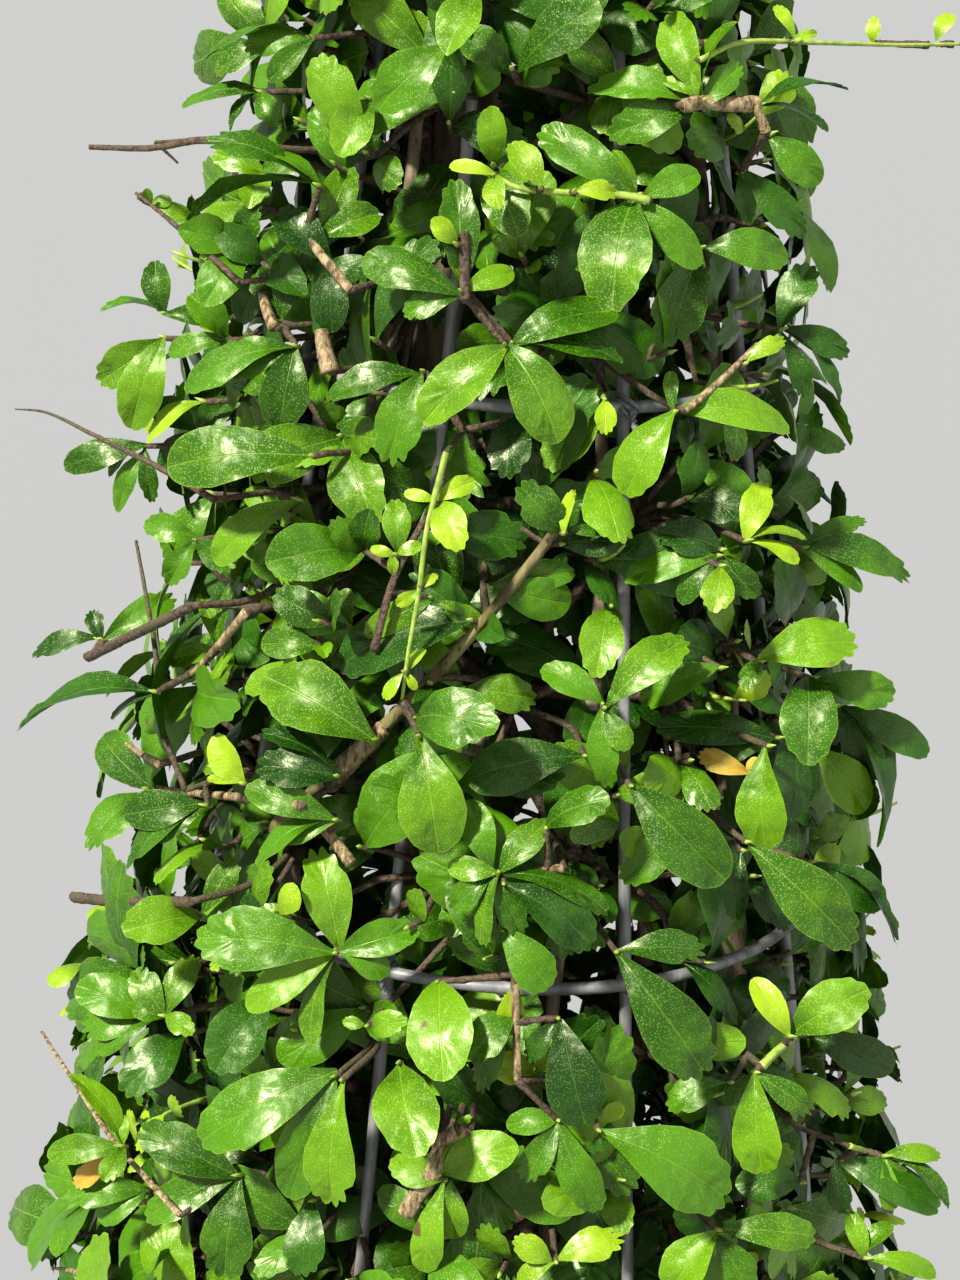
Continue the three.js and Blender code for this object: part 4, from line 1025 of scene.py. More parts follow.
class Plant:
    """The shoots and leaves as they grow, with the places that leaves already take."""

    def __init__(self):
        self.leaves = {kind: Leaves(seed) for seed, kind in enumerate(LEAF_LOOKS)}
        self.twigs = Shape()
        self.green = Shape()
        self.cut_wood = Shape()
        self.taken = {}
        self.in_sight = []

    def near(self, point):
        """Whether a leaf already takes the place round a point."""
        x, y, z = np.floor(point / LEAVES_APART).astype(int)
        for dx, dy, dz in NEIGHBOURS:
            for other in self.taken.get((x + dx, y + dy, z + dz), ()):
                if np.dot(point - other, point - other) < LEAVES_APART**2:
                    return True
        return False

    def take(self, points):
        for point in points:
            home = tuple(np.floor(point / LEAVES_APART).astype(int))
            self.taken.setdefault(home, []).append(point)

    def keep_in_sight(self, start, end, breadth, depth):
        """Keeps later leaves from hiding what shows between two places in the photograph."""
        self.in_sight.append((*start, *end, 0.5 * breadth, depth))

    def hides(self, points):
        """Whether one of the points lies before something that stays in sight."""
        places, depths = in_photo(points)
        kept = np.array(self.in_sight)
        start, run = kept[:, 0:2], kept[:, 2:4] - kept[:, 0:2]
        from_start = places[:, None] - start
        share = np.clip(np.sum(from_start * run, axis=-1) / np.sum(run**2, axis=-1), 0, 1)
        off = np.linalg.norm(from_start - run * share[..., None], axis=-1)
        return bool(np.any((off < kept[:, 4]) & (depths[:, None] < kept[:, 5])))

    def grow_leaf(self, kind, root, along, facing, length, width, fold, droop, tint, checked=True):
        """Adds a leaf, unless it would leave the crown, meet another or hide what stays in sight."""
        across = np.cross(along, facing)
        half = 0.5 * width * length
        bend = -droop * length * facing
        samples = [root + along * a * length + across * b * half + bend * c for a, b, c in LEAF_SAMPLES]
        if checked:
            if not all(in_crown(point) and not over_open_wire(point) for point in samples):
                return False
            if any(self.near(point) for point in samples):
                return False
            if root[1] < 0 and self.hides(np.array(samples)):
                return False
        self.take(samples)
        self.leaves[kind].add(root, along, facing, length, width, fold, droop, tint)
        return True


def in_crown(point):
    """Whether a point is in the crown's space, clear of the pot's rim and of the uprights."""
    x, y, z = point
    radius = math.hypot(x, y)
    azimuth = azimuth_of(point)
    if not CROWN_FOOT - 2 < z < CROWN_TOP:
        return False
    if z < POT_HEIGHT + CLEAR_OF_POT and radius > POT_TOP_RADIUS - POT_WALL - CLEAR_OF_POT:
        return False
    if abs(radius - frame_radius(z)) < CLEAR_OF_UPRIGHT:
        step = 2 * math.pi / UPRIGHTS
        off = (azimuth - FIRST_UPRIGHT + 0.5 * step) % step - 0.5 * step
        if abs(off) * radius < CLEAR_OF_UPRIGHT:
            return False
    return radius < frame_radius(z) + crown_depth(azimuth, z) + PAST_CROWN


def over_open_wire(point):
    """Whether a point outside the frame lies over a stretch of wire that stays in sight."""
    x, y, z = point
    radius = math.hypot(x, y)
    if radius < frame_radius(z) - 3 or y > 0:
        return False
    azimuth = math.degrees(azimuth_of(point))
    for wire, low, high in OPEN_UPRIGHTS:
        if low - 3 < z < high + 3 and abs(math.radians(azimuth - wire)) * radius < OPEN_HALF_WIDTH:
            return True
    for height, low, high in OPEN_RINGS:
        sight = z - height - SIGHT_RISE * (radius - frame_radius(height))
        if low < azimuth < high and abs(sight) < OPEN_HALF_WIDTH:
            return True
    return False


def camera_axes():
    """The camera's right, up and forward directions."""
    forward = np.array([0, math.cos(CAMERA_PITCH), -math.sin(CAMERA_PITCH)])
    right = np.array([1.0, 0.0, 0.0])
    above = np.cross(right, forward)
    turned_right = math.cos(CAMERA_ROLL) * right + math.sin(CAMERA_ROLL) * above
    turned_up = math.cos(CAMERA_ROLL) * above - math.sin(CAMERA_ROLL) * right
    return turned_right, turned_up, forward


def seen_at(x, y, depth):
    """The point that shows at a place in the photograph, so far before the camera."""
    right, above, forward = camera_axes()
    middle_x, middle_y = 0.5 * PHOTO_SIZE
    ray = forward + (right * (x - middle_x) - above * (y - middle_y)) / FOCAL_PIXELS
    return CAMERA_AT + ray * depth


def in_photo(points):
    """Where points show in the photograph, and how far before the camera they are."""
    right, above, forward = camera_axes()
    seen = (points - CAMERA_AT) @ np.array([right, -above, forward]).T
    depth = seen[..., 2]
    return seen[..., :2] * FOCAL_PIXELS / depth[..., None] + 0.5 * PHOTO_SIZE, depth


def on_crown(x, y, stands_out):
    """The point of the crown, so far outside the wires, that shows at a place in the photograph."""
    depths = np.arange(SIGHT_FROM, SIGHT_TO, 1.0)
    points = seen_at(x, y, depths[:, None])
    outside = np.hypot(points[:, 0], points[:, 1]) - frame_radius(points[:, 2]) - stands_out
    within = np.nonzero(outside < 0)[0]
    return points[within[0] if len(within) else np.argmin(outside)]


def halton(index, base):
    """The index-th of a row of evenly spread numbers from 0 to 1."""
    result = 0.0
    share = 1.0
    while index:
        share /= base
        result += share * (index % base)
        index //= base
    return result


def spray_kind(random, stands):
    """Deals a colour to a spray: the outermost are lighter and the inner ones darker, which is painted
    sunlight outside and painted shade within, over a random spread of the leaves' own greens.
    """
    dice = random.random() + LIGHTER_OUTWARDS * stands
    if dice > LIGHT_ABOVE:
        return "light"
    return "mid" if dice > MID_ABOVE else "dark"


def grow_rosette(plant, node, axis, size, count, kind, random):
    """A star of leaves round a spur, the older ones long and flat, the younger short and steep."""
    side = unit(np.cross(axis, UP + 0.01))
    other = np.cross(side, axis)
    first_turn = random.uniform(0, 2 * math.pi)
    grown = 0
    for k in range(count):
        age = 1 - k / max(count - 1, 1)
        for attempt in range(LEAF_TRIES):
            turn = first_turn + k * GOLDEN_ANGLE + attempt * 0.55
            length = size * lerp(*LENGTH_BY_AGE, age) * random.uniform(0.82, 1.18) * (1 - 0.13 * attempt)
            lift = lerp(*LIFT_BY_AGE, age) + random.uniform(-0.14, 0.16) + 0.22 * attempt
            spread = side * math.cos(turn) + other * math.sin(turn)
            along = unit(spread + axis * lift)
            facing = axis - along * np.dot(axis, along)
            facing = unit(facing + 0.25 * np.cross(along, facing) * random.uniform(-1, 1))
            facing = unit(facing - along * np.dot(facing, along))
            root = node - axis * (2.2 * k) + spread * 0.8
            width = random.uniform(*LEAF_BREADTH) + 0.05 * (1 - age)
            fold, droop, tint = random.uniform(*LEAF_FOLD), random.uniform(*LEAF_DROOP), random.random()
            if plant.grow_leaf(kind, root, along, facing, length, width, fold, droop, tint):
                grown += 1
                break
    return grown


def grow_bud(plant, node, axis, random):
    """A pointed bud at the end of a spur."""
    reach = random.uniform(2.2, 4.5)
    points = np.array([node - axis * 1.5, node + axis * 0.3 * reach, node + axis * reach])
    sweep(plant.green, points, [0.6, 0.8, 0.15], 5)


def grow_new_shoot(plant, node, axis, reach, leaves, random):
    """A soft green shoot with small round leaves in turn along it."""
    bend = unit(np.cross(axis, UP + 0.02)) * random.uniform(-0.25, 0.25) + UP * random.uniform(0, 0.3)
    t = np.linspace(0, 1, 6)[:, None]
    line = node + axis * reach * t + bend * reach * t**2
    add_stem(plant.green, line, NEW_STEM, random)
    tip_axis = unit(line[-1] - line[-2])
    side = unit(np.cross(tip_axis, UP + 0.02))
    for k in range(leaves):
        share = 0.3 + 0.7 * (k + 1) / leaves
        root = node + axis * reach * share + bend * reach * share**2
        turn = k * GOLDEN_ANGLE
        spread = side * math.cos(turn) + np.cross(side, tip_axis) * math.sin(turn)
        along = unit(spread + tip_axis * random.uniform(0.5, 1.0))
        facing = unit(tip_axis - along * np.dot(tip_axis, along))
        length = NEW_LEAF * random.uniform(0.75, 1.25)
        width, fold, tint = random.uniform(0.58, 0.72), random.uniform(0, 0.3), random.random()
        plant.grow_leaf("new", root, along, facing, length, width, fold, 0.06, tint)


def curved(start, end, sag, random, steps=5):
    """A slightly crooked line from one place to another."""
    t = np.linspace(0, 1, steps)[:, None]
    reach = np.linalg.norm(end - start)
    crook = random.normal(0, 0.05 * reach, 3)
    return lerp(start, end, t) + (crook + UP * sag) * np.sin(math.pi * t)


def nearest(places, target):
    return places[np.argmin(np.linalg.norm(places - target, axis=1))]


def limb_near(lines, target, height):
    """The place at a height on the nearest limb that runs on past it."""
    found = [
        line[np.argmin(np.abs(line[:, 2] - height))]
        for line in lines
        if line[0][2] < height - SHORTEST_HOLD and line[-1][2] > height + TWIG_DROP
    ]
    return min(found, key=lambda point: np.linalg.norm(point - target))


def grow_boughs(plant, tier, sector, lines):
    """A mass's stem off the nearest limb and the boughs from its hub. Returns where shoots can start."""
    random = np.random.default_rng(2000 + 97 * tier + 13 * sector)
    rule = TIERS[tier]
    low, high = tier_edge(tier, 0), tier_edge(tier + 1, 0)
    height = 0.5 * (low + high)
    middle = 0.5 * (sector_edge(tier, sector, height) + sector_edge(tier, sector + 1, height))
    hub = placed(middle, CORE_MIDDLE_SHARE * frame_radius(height), height)
    start = limb_near(lines, hub, height - STEM_DROP)
    add_stem(plant.twigs, curved(start, hub, 4, random, 7), MASS_STEM, random)
    spurs = []
    for row, column in itertools.product(range(rule["rows"]), range(rule["columns"])):
        stagger = 0.14 if row % 2 else -0.14
        at = lerp(low, high, (row + 0.5) / rule["rows"])
        azimuth = azimuth_across(tier, sector, at, (column + 0.5 + stagger) / rule["columns"])
        line = curved(hub, placed(azimuth, frame_radius(at) - 8, at), -6, random, 9)
        add_stem(plant.twigs, line, MASS_BOUGH, random)
        spurs.append(line[3:])
    return np.concatenate(spurs)


def fill_mass(plant, tier, sector, spurs):
    """Spreads shoots evenly through a mass's own space."""
    random = np.random.default_rng(5000 + 97 * tier + 13 * sector)
    rule = TIERS[tier]
    low, high = tier_edge(tier, 0), tier_edge(tier + 1, 0)
    width = 2 * math.pi / rule["sectors"] * (frame_radius(0.5 * (low + high)) + 0.4 * CROWN_DEPTH)
    for index in range(1, round(width * (high - low) / AREA_PER_SHOOT) + 1):
        rise, turn, depth = (halton(index, base) for base in (2, 3, 5))
        azimuth = azimuth_across(tier, sector, 0, turn)
        at = lerp(tier_edge(tier, azimuth), tier_edge(tier + 1, azimuth), rise)
        grow_shoot(plant, spurs, azimuth_across(tier, sector, at, turn), at, depth, rule["leaf"], random)


def path_in(place, spurs):
    """The way from a place outside the frame to the nearest wood, which first runs straight in."""
    inside = place - outward(azimuth_of(place)) * FOOT_RUNS_IN
    return [inside, nearest(spurs, inside)]


def grow_front_leaf(plant, kind, root, x, y, breadth, random):
    """A leaf whose tip and breadth show as in the photograph: it leans to the camera if it is short for its
    breadth there, and rolls about its midrib if it is narrow."""
    start, depth = in_photo(root)
    flat = seen_at(x, y, depth) - root
    shown = np.linalg.norm(flat)
    wide = breadth * depth / FOCAL_PIXELS
    length = max(shown, wide / BROADEST)
    to_camera = unit(CAMERA_AT - root)
    along = unit(flat + to_camera * math.sqrt(max(length**2 - shown**2, 0)))
    glance = to_camera + TO_THE_LIGHT + random.normal(0, 0.14, 3)
    facing = unit(glance - along * np.dot(glance, along))
    share = max(wide / length, NARROWEST)
    roll = math.acos(min(wide / (share * length), 1))
    across = np.cross(along, facing)
    turned = [facing * math.cos(roll) + across * math.sin(way * roll) for way in (-1, 1)]
    facing = max(turned, key=lambda way: way[2])
    fold, droop = random.uniform(0.3, 0.62), random.uniform(0.05, 0.24)
    plant.grow_leaf(kind, root, along, facing, length, share, fold, droop, random.random(), checked=False)
    plant.keep_in_sight(start, (x, y), 0.9 * breadth, depth)


def grow_front_stem(plant, spurs, stem, random):
    """A stem through its places in the photograph, whose foot runs in to the nearest wood."""
    material, tip_radius, foot_radius, stands_out, *places = stem
    ends = [in_photo(on_crown(*place, stands_out))[1] for place in (places[0], places[-1])]
    depths = np.linspace(*ends, len(places))
    line = [seen_at(x, y, depth) for (x, y), depth in zip(places, depths)]
    shown = smooth_line(line, 10 * len(line))
    ridges = 0.09 * random.normal(0, 1, (1, FRONT_SIDES))
    relief = ridges + 0.05 * random.normal(0, 1, (len(shown), FRONT_SIDES))
    radii = np.linspace(tip_radius, foot_radius, len(shown))
    sweep(getattr(plant, material), shown, radii, FRONT_SIDES, relief)
    foot = smooth_line([line[-1]] + path_in(line[-1], spurs), 16)
    add_stem(plant.twigs, foot, (0.8 * min(foot_radius, 1.5), 1.2, 7, 0), random)
    for first, second, depth in zip(places, places[1:], depths):
        plant.keep_in_sight(first, second, STEM_IN_SIGHT, depth)
    return np.concatenate([shown, foot])


def grow_front(plant, spurs):
    """The stems and sprays that the photograph shows, each from the nearest wood."""
    random = np.random.default_rng(31)
    grown = [grow_front_stem(plant, spurs, stem, random) for stem in FRONT_STEMS.values()]
    for start, end in OPEN_STRETCHES:
        plant.keep_in_sight(start, end, WIRE_IN_SIGHT, in_photo(on_crown(*start, 0))[1])
    bough, depths = in_photo(crossing_line(16)[3:])
    for start, end, depth in zip(bough, bough[1:], depths):
        plant.keep_in_sight(start, end, BOUGH_IN_SIGHT, depth)
    spurs = np.concatenate([spurs, *grown])
    for kind, stands_out, spur, *leaves in FRONT_SPRAYS:
        node = on_crown(*spur, stands_out)
        wood = nearest(spurs, node)
        way = [wood] if np.linalg.norm(wood - node) < AT_THE_STEM else path_in(node, spurs)
        line = smooth_line([node] + way, 10)
        add_stem(plant.twigs, line, SPRAY_STEM, random)
        for x, y, breadth in leaves:
            grow_front_leaf(plant, kind, node + random.normal(0, 0.5, 3), x, y, breadth, random)
        grow_bud(plant, node, unit(outward(azimuth_of(node)) + 0.4 * UP), random)


def grow_shoot(plant, spurs, azimuth, height, depth, leaf, random):
    """A woody shoot from the nearest spur out to its rosette, at times with a soft new shoot on its end."""
    outermost = ROSETTE_SHARE * crown_depth(azimuth, height)
    inner = max(DEEPEST_ROSETTE, -0.55 * frame_radius(height))
    stands = lerp(inner, outermost, depth**0.5)
    node = placed(azimuth, max(frame_radius(height) + stands, 6), height)
    root = nearest(spurs, node)
    rise = random.uniform(0.0, 0.6) + (0.25 if stands < 0 else 0)
    axis = unit(outward(azimuth) + UP * rise + around(azimuth) * random.uniform(-0.45, 0.45))
    kind = spray_kind(random, stands)
    count = int(random.integers(4, 8))
    if not grow_rosette(plant, node, axis, leaf * random.uniform(0.75, 1.15), count, kind, random):
        return
    line = np.concatenate([curved(root, node - axis * 9, 3, random, 5), [node]])
    add_stem(plant.twigs, line, SHOOT_STEM, random)
    if stands < 0:
        return
    grow_bud(plant, node, axis, random)
    if random.random() < NEW_SHOOT_SHARE:
        grow_new_shoot(plant, node, axis, random.uniform(8, 22), int(random.integers(2, 5)), random)


def grow_tip(plant):
    """The tip of the crown, on one stem that rises through the collar."""
    random = np.random.default_rng(4242)
    top = np.array([2, -1, CROWN_TOP - 24.0])
    stem = smooth_line([trunk_centre(TRUNK_TOP), [0, 0, FRAME_TOP], top], 14)
    add_stem(plant.twigs, stem, TIP_STEM, random)
    area = 2 * math.pi * 20 * (CROWN_TOP - TIP_FROM)
    for index in range(1, round(1.5 * area / AREA_PER_SHOOT) + 1):
        height = lerp(TIP_FROM - 4, CROWN_TOP - 34, halton(index, 2))
        azimuth = 2 * math.pi * halton(index, 3)
        grow_shoot(plant, stem, azimuth, height, halton(index, 5), TIP_LEAF, random)
    grow_rosette(plant, top, unit(np.array([0.05, -0.1, 1.0])), TIP_LEAF, 6, "light", random)


def grow_long_shoots(plant):
    """Shoots that grow out past the clipped face."""
    random = np.random.default_rng(77)
    for height, degrees, reach in LONG_SHOOTS:
        azimuth = math.radians(degrees)
        start = placed(azimuth, 0.7 * frame_radius(height - TWIG_DROP), height - TWIG_DROP)
        node = placed(azimuth, frame_radius(height) + reach - 12, height)
        line = curved(start, node, 5, random, 9)
        add_stem(plant.twigs, line, LONG_STEM, random)
        axis = unit(node - start)
        grow_rosette(plant, node, unit(axis + UP * 0.3), 34, 5, "mid", random)
        for k in (5, 6, 7):
            side = unit(axis + UP * random.uniform(0.2, 0.9) + around(azimuth) * random.uniform(-1, 1))
            grow_rosette(plant, line[k], side, 26, 3, "mid", random)


def grow_plant():
    """Boughs first, then what the photograph shows at the front, and then the shoots that fill the crown."""
    plant = Plant()
    lines = [trunk_line(90)] + [leader_line(leader, 60) for leader in LEADERS.values()]
    masses = [(tier, sector) for tier, rule in enumerate(TIERS) for sector in range(rule["sectors"])]
    spurs = [grow_boughs(plant, tier, sector, lines) for tier, sector in masses]
    grow_front(plant, np.concatenate(spurs))
    for (tier, sector), places in zip(masses, spurs):
        fill_mass(plant, tier, sector, places)
    grow_tip(plant)
    grow_long_shoots(plant)
    return plant


def make_foliage():
    """Grows the crown and joins it, each kind apart. Together the pieces stand for the foliage masses."""
    plant = grow_plant()
    masses = sorted(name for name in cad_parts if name.startswith("foliage_"))
    for kind, leaves in plant.leaves.items():
        material = leaf_material("leaf_" + kind, *LEAF_LOOKS[kind])
        for name, mesh in leaves.meshes("leaves_" + kind).items():
            add_piece(name, mesh, material, masses)
    add_shape("twigs", plant.twigs, twig_material(), masses)
    add_shape("green_shoots", plant.green, green_stem_material(), masses)
    add_shape("cut_stubs", plant.cut_wood, cut_wood_material(), masses)


# Wood


def bark_relief(stations, sides, length, random):
    """Long furrows and knots, as a share of the radius at each station and side."""
    turns = turns_round(sides)
    along = np.linspace(0, length, stations)[:, None]
    relief = np.zeros((stations, sides))
    for ridges, wave, depth in BARK_FURROWS:
        phase = random.uniform(0, 2 * math.pi)
        drift = 1.4 * np.sin(along / wave + random.uniform(0, 6))
        relief += depth * np.sin(ridges * turns + drift + phase) * (0.7 + 0.5 * np.sin(along / (2.3 * wave)))
    for _ in range(int(length / KNOT_SPACING)):
        at = random.uniform(0, length)
        turn = random.uniform(0, 2 * math.pi)
        near = np.exp(-(((along - at) / 5) ** 2)) * np.exp(-2.2 * (1 - np.cos(turns - turn)))
        relief += random.uniform(0.1, 0.34) * near
    return relief


def add_limb(name, line, radii, sides, material, seed):
    length = np.sum(np.linalg.norm(np.diff(line, axis=0), axis=1))
    shape = Shape()
    sweep(shape, line, radii, sides, bark_relief(len(line), sides, length, np.random.default_rng(seed)))
    add_shape(name + "_bark", shape, material, [name])


def make_wood():
    """Bark with a relief over the trunk, the leaders and the boughs."""
    bark = bark_material("bark", (0.1, 0.07, 0.04), (0.4, 0.31, 0.19), (0.46, 0.4, 0.28))
    young = bark_material("young_bark", (0.07, 0.055, 0.015), (0.24, 0.21, 0.07), (0.3, 0.25, 0.12))
    line = trunk_line(420)
    add_limb("trunk", line, [trunk_radius(height) for height in line[:, 2]], 22, bark, 1)
    for number, (name, leader) in enumerate(LEADERS.items()):
        radii = np.linspace(leader["radius"], LEADER_TIP_RADIUS, 240)
        add_limb(name, leader_line(leader, 240), radii, 14, bark, 10 + number)
    for number, (azimuth, start) in enumerate(BOUGHS):
        radii = np.linspace(BOUGH_RADIUS, 0.5 * BOUGH_RADIUS, 50)
        line = bough_line(math.radians(azimuth), start, 50)
        add_limb(f"bough_{number + 1}", line, radii, 12, bark, 30 + number)
    radii = lerp(CROSSING_RADIUS, CROSSING_TIP_RADIUS, np.linspace(0, 1, 150) ** 0.36)
    add_limb("bough_crossing_front", crossing_line(150), radii, 12, young, 50)


# Wire frame


def upright_line(index, steps):
    """An upright that bends a little between the collar and the soil, as its solid does."""
    azimuth = upright_azimuth(index)
    stream = random_stream(40 + index)
    points = []
    for t in np.linspace(0, 1, UPRIGHT_STATIONS):
        height = lerp(GROUND, FRAME_TOP, t)
        loose = math.sin(math.pi * t) * UPRIGHT_BEND
        sideways = around(azimuth) * loose * (2 * next(stream) - 1)
        inward = outward(azimuth) * loose * next(stream)
        points.append(placed(azimuth, frame_radius(height), height) + sideways - inward)
    return smooth_line(points, steps)


def wire_relief(stations, sides, random):
    """Small dents and runs in the wire's skin."""
    along = np.arange(stations)[:, None]
    runs = 0.025 * np.sin(along * 0.61 + 2 * turns_round(sides))
    swell = 0.03 * np.sin(along * 0.23 + random.uniform(0, 6)) + runs
    return swell + random.normal(0, 0.012, (stations, sides))


def add_tie(shape, at, azimuth, random):
    """Thin wire wound round a crossing, with its ends twisted together."""
    t = np.linspace(0, 1, 30)[:, None]
    angle = 2 * math.pi * TIE_TURNS * t + random.uniform(0, 6)
    slant = unit(UP + around(azimuth) * random.choice([-0.9, 0.9]))
    across = unit(np.cross(slant, outward(azimuth)))
    deep, wide = 2 * WIRE_RADIUS + TIE_RADIUS + 0.3, WIRE_RADIUS + TIE_RADIUS + 0.9
    winding = at + outward(azimuth) * (deep * np.cos(angle)) + across * (wide * np.sin(angle))
    sweep(shape, winding + slant * (TIE_WIDTH * (t - 0.5)), TIE_RADIUS, 5)
    t = np.linspace(0, 1, 12)[:, None]
    reach = unit(outward(azimuth) * 0.5 + around(azimuth) * random.uniform(-1, 1) - UP * 0.6)
    tail = at + outward(azimuth) * deep + reach * (TIE_TAIL * t)
    for phase in (0, math.pi):
        angle = 4 * math.pi * t + phase
        twisted = tail + across * (0.6 * np.cos(angle)) + slant * (0.6 * np.sin(angle))
        sweep(shape, twisted, 0.85 * TIE_RADIUS, 5)


def add_wire(shape, line, radius, sides, random, closed=False):
    sweep(shape, line, radius, sides, wire_relief(len(line), sides, random), closed)


def make_wires():
    """Round, slightly uneven wires over the frame's solids, tied at every crossing."""
    material = wire_material()
    random = np.random.default_rng(5)
    uprights, rings, ties = Shape(), Shape(), Shape()
    for index in range(UPRIGHTS):
        add_wire(uprights, upright_line(index, UPRIGHT_STEPS), WIRE_RADIUS, WIRE_SIDES, random)
    for index in range(RINGS):
        steps = 60 + round(ring_radius(index))
        turns = np.linspace(0, 2 * math.pi, steps, endpoint=False)
        uneven = 0.5 * np.sin(3 * turns + index) + 0.3 * np.sin(5 * turns + 2 * index)
        line = ring(ring_radius(index) + 0.4 * uneven, ring_height(index) + uneven, turns)
        add_wire(rings, line, WIRE_RADIUS, WIRE_SIDES, random, closed=True)
        for upright in range(UPRIGHTS):
            azimuth = upright_azimuth(upright)
            at = placed(azimuth, ring_radius(index) - WIRE_RADIUS, ring_height(index))
            add_tie(ties, at, azimuth, random)
    add_shape("uprights", uprights, material, [f"wire_upright_{k + 1}" for k in range(UPRIGHTS)])
    add_shape("rings", rings, material, [f"wire_ring_{k + 1}" for k in range(RINGS)])
    add_shape("ties", ties, material)
    make_collar(material, random)


def make_collar(material, random):
    """The band round the tops of the uprights: close turns of the same wire."""
    bottom = FRAME_TOP - COLLAR_HEIGHT
    t = np.linspace(0, 1, 200)
    radius = frame_radius(bottom) + WIRE_RADIUS + CLEARANCE + 0.5 * COLLAR_WALL
    line = ring(radius, lerp(bottom + 1.2, FRAME_TOP - 1.2, t), 2 * math.pi * COLLAR_TURNS * t)
    shape = Shape()
    add_wire(shape, line, 0.55 * COLLAR_WALL, 8, random)
    add_shape("collar", shape, material, ["wire_collar"])


# Pot


def pot_wall_at(height):
    return lerp(POT_BASE_RADIUS, POT_TOP_RADIUS, height / POT_HEIGHT)


def pot_profile():
    """The outside from the foot up, over the rolled rim, and down the inside to the floor."""
    rim_under = POT_HEIGHT - RIM_HEIGHT
    lip_from = POT_HEIGHT - LIP
    outside = [(pot_wall_at(h), h) for h in np.linspace(6, rim_under - 5, 40)]
    rim_face = [
        (RIM_RADIUS + RIM_FLARE * t - 0.7 * math.sin(math.pi * t), lerp(rim_under + 3, lip_from, t))
        for t in np.linspace(0, 1, 12)
    ]
    half = 0.5 * (RIM_RADIUS + RIM_FLARE - POT_TOP_RADIUS + POT_WALL)
    middle = RIM_RADIUS + RIM_FLARE - half
    lip = [
        (middle + half * math.cos(turn), lip_from + LIP * math.sin(turn))
        for turn in np.linspace(0, math.pi, 12)
    ]
    inside = [(pot_wall_at(h) - POT_WALL, h) for h in np.linspace(POT_HEIGHT - 14, POT_FLOOR + 5, 14)]
    return np.array(
        [(POT_BASE_RADIUS - 5, 0), (POT_BASE_RADIUS - 1.5, 1), (POT_BASE_RADIUS, 3)]
        + outside
        + [(pot_wall_at(rim_under) + 0.5, rim_under - 1.5)]
        + [(RIM_RADIUS - 3, rim_under), (RIM_RADIUS - 0.6, rim_under + 1)]
        + rim_face
        + lip
        + inside
        + [(pot_wall_at(POT_FLOOR) - POT_WALL - 4, POT_FLOOR)]
    )


def pot_unevenness(turns, heights):
    """A hand-turned wall is never quite round, and carries faint turning marks."""
    lumps = 0.35 * np.sin(2 * turns + 0.4) * heights / POT_HEIGHT + 0.12 * np.sin(5 * turns + heights / 40)
    fading = 0.6 + 0.4 * np.sin(turns * 3 + heights / 25)
    return lumps + 0.14 * np.sin(heights / 2.1) * fading * (heights > 4)


def make_pot():
    """The pot's wall and floor, with its drain holes drilled."""
    radii, heights = pot_profile()[:, :1], pot_profile()[:, 1:]
    turns = turns_round(POT_SIDES)
    shape = Shape()
    shape.add_rings(ring(radii + pot_unevenness(turns, heights), heights, turns))
    piece = add_shape("pot_clay", shape, clay_material(), ["pot"])
    drill = Shape()
    for k in range(DRAIN_HOLES):
        turn = 2 * math.pi * (k + 0.5) / DRAIN_HOLES
        foot = np.array([DRAIN_CIRCLE * math.cos(turn), DRAIN_CIRCLE * math.sin(turn), -POT_FLOOR])
        sweep(drill, [foot, foot + UP * 3 * POT_FLOOR], DRAIN_RADIUS, 24)
    cutter = add_object("drill", drill.mesh("drill"))
    cut = piece.modifiers.new("drain_holes", "BOOLEAN")
    cut.operation = "DIFFERENCE"
    cut.solver = "EXACT"
    cut.object = cutter
    bpy.context.view_layer.update()
    drilled = bpy.data.meshes.new_from_object(piece.evaluated_get(bpy.context.evaluated_depsgraph_get()))
    piece.modifiers.clear()
    piece.data = drilled
    bpy.data.objects.remove(cutter)


def soil_reach(height):
    return pot_wall_at(height) - POT_WALL - 1


def soil_height(x, y):
    """A gently rough top that rises a little towards the stem and sinks at the wall."""
    radius = np.hypot(x, y)
    lumps = 1.1 * np.sin(x / 9 + 1.3 * np.sin(y / 14)) + 0.9 * np.sin(y / 7.3 + 1.1 * np.sin(x / 11))
    fine = 0.5 * np.sin(x / 2.7 + y / 3.9) + 0.45 * np.sin(y / 2.2 - x / 4.6)
    mound = 2.5 * np.exp(-((radius / 34) ** 2))
    return SOIL_TOP - 1.2 + lumps + fine + mound - 1.5 * smoothstep((radius - 130) / 30)


def make_soil():
    """The filling of the pot, with crumbs strewn over its top."""
    random = np.random.default_rng(12)
    turns = turns_round(SOIL_SIDES)
    rings = [ring(soil_reach(height), height, turns) for height in (POT_FLOOR + CLEARANCE, SOIL_TOP - 4)]
    for radius in np.linspace(soil_reach(SOIL_TOP - 3), 2, 60):
        x, y = radius * np.sin(turns), -radius * np.cos(turns)
        rings.append(np.stack([x, y, soil_height(x, y)], axis=1))
    shape = Shape()
    shape.add_rings(np.array(rings))
    for _ in range(CRUMBS):
        add_crumb(shape, soil_reach(SOIL_TOP) - 4, random)
    add_shape("soil_top", shape, soil_material(), ["soil"])


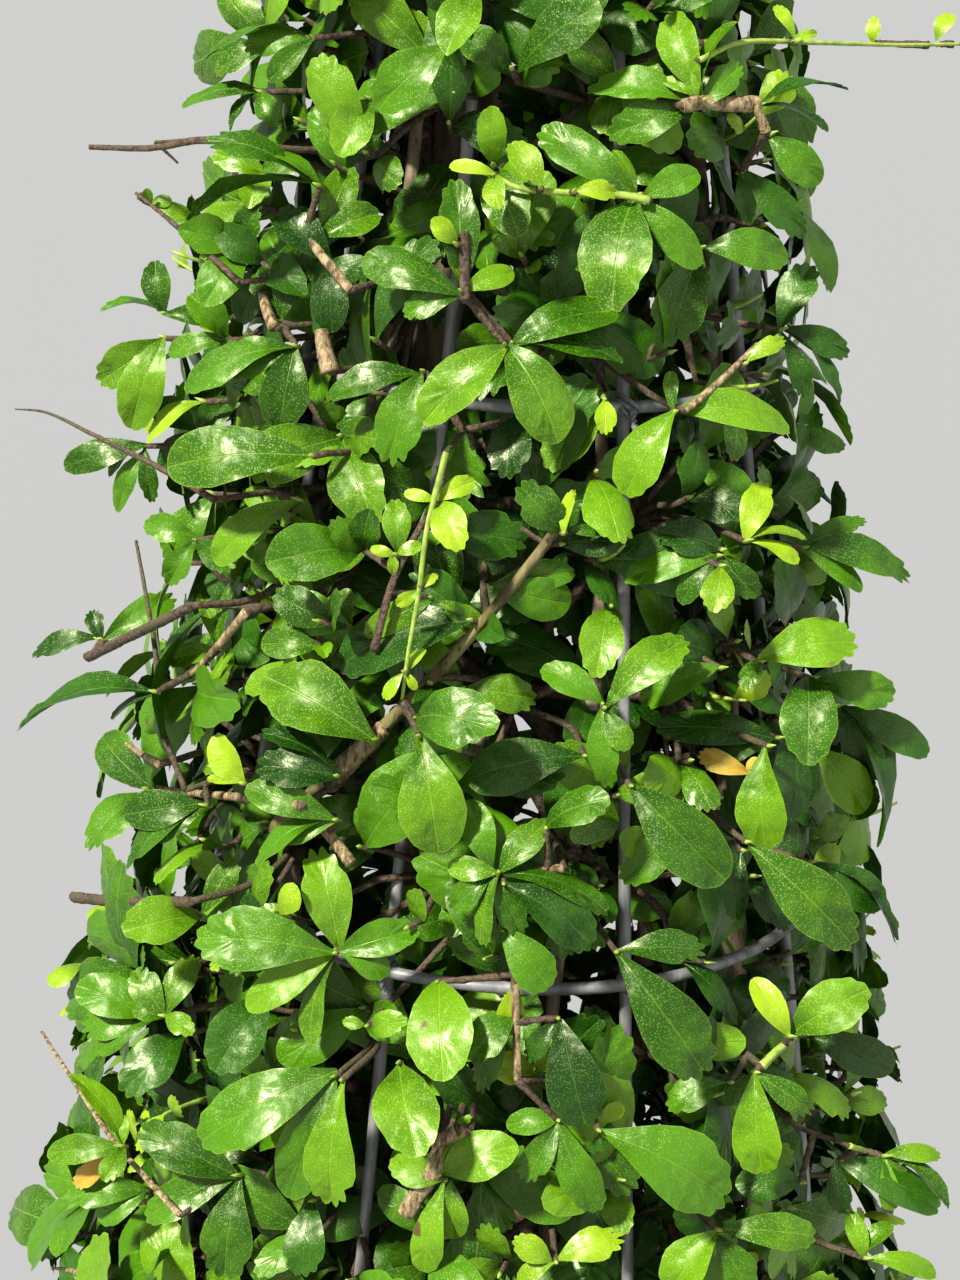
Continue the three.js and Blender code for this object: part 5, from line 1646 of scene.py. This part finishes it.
def add_crumb(shape, reach, random):
    """A lumpy eight-faced grain, half sunk in the soil."""
    radius = reach * math.sqrt(random.random())
    turn = random.uniform(0, 2 * math.pi)
    x, y = radius * math.cos(turn), radius * math.sin(turn)
    size = random.uniform(0.8, 2.6)
    middle = np.array([x, y, soil_height(x, y) + 0.2 * size])
    ways = np.array([[1, 0, 0], [-1, 0, 0], [0, 1, 0], [0, -1, 0], [0, 0, 1], [0, 0, -1]], float)
    points = middle + ways * size * random.uniform(0.6, 1.4, (6, 1)) + random.normal(0, 0.2 * size, (6, 3))
    faces = np.array([[0, 2, 4], [2, 1, 4], [1, 3, 4], [3, 0, 4], [2, 0, 5], [1, 2, 5], [3, 1, 5], [0, 3, 5]])
    shape.add(points, faces)


# Stage


def make_floor():
    size = 60
    corners = [(-size, -size, 0), (size, -size, 0), (size, size, 0), (-size, size, 0)]
    mesh = bpy.data.meshes.new("floor")
    mesh.from_pydata(corners, [], [(0, 1, 2, 3)])
    mesh.materials.append(Paint("floor").finish((0.283, 0.29, 0.298), 0.95))
    add_object("floor", mesh)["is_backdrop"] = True


def add_sun(name, strength, colour, direction, degrees):
    data = bpy.data.lights.new(name, "SUN")
    data.energy = strength
    data.color = colour
    data.angle = math.radians(degrees)
    light = add_object(name, data)
    light.rotation_euler = Vector(direction).to_track_quat("-Z", "Y").to_euler()


def make_light():
    """A warm key from the upper left, and pale cool light from all round."""
    add_sun("key", 7.0, (1.0, 0.97, 0.9), (0.55, 0.62, -0.85), 5)
    add_sun("fill", 0.5, (0.85, 0.92, 1.0), (-0.7, 0.5, -0.35), 60)
    world = bpy.data.worlds.new("world")
    world.use_nodes = True
    background = world.node_tree.nodes["Background"]
    background.inputs["Color"].default_value = (0.98, 0.99, 1.0, 1)
    background.inputs["Strength"].default_value = 0.48
    bpy.context.scene.world = world
    bpy.context.scene.view_settings.view_transform = "Standard"


def make_camera():
    right, above, forward = camera_axes()
    data = bpy.data.cameras.new("camera")
    data.sensor_width = SENSOR
    data.lens = SENSOR * FOCAL_PIXELS / PHOTO_SIZE[1]
    camera = add_object("camera", data)
    turned = Matrix([right, above, -forward]).transposed().to_4x4()
    camera.matrix_world = Matrix.Translation(Vector(CAMERA_AT * MM)) @ turned
    bpy.context.scene.camera = camera


def write_sizes():
    sizes = {"cad": cad_box, "visual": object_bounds()}
    {name: [list(corner) for corner in box] for name, box in sizes.items()}


make_camera()
make_light()
make_floor()
make_pot()
make_soil()
make_wires()
make_wood()
make_foliage()
write_sizes()
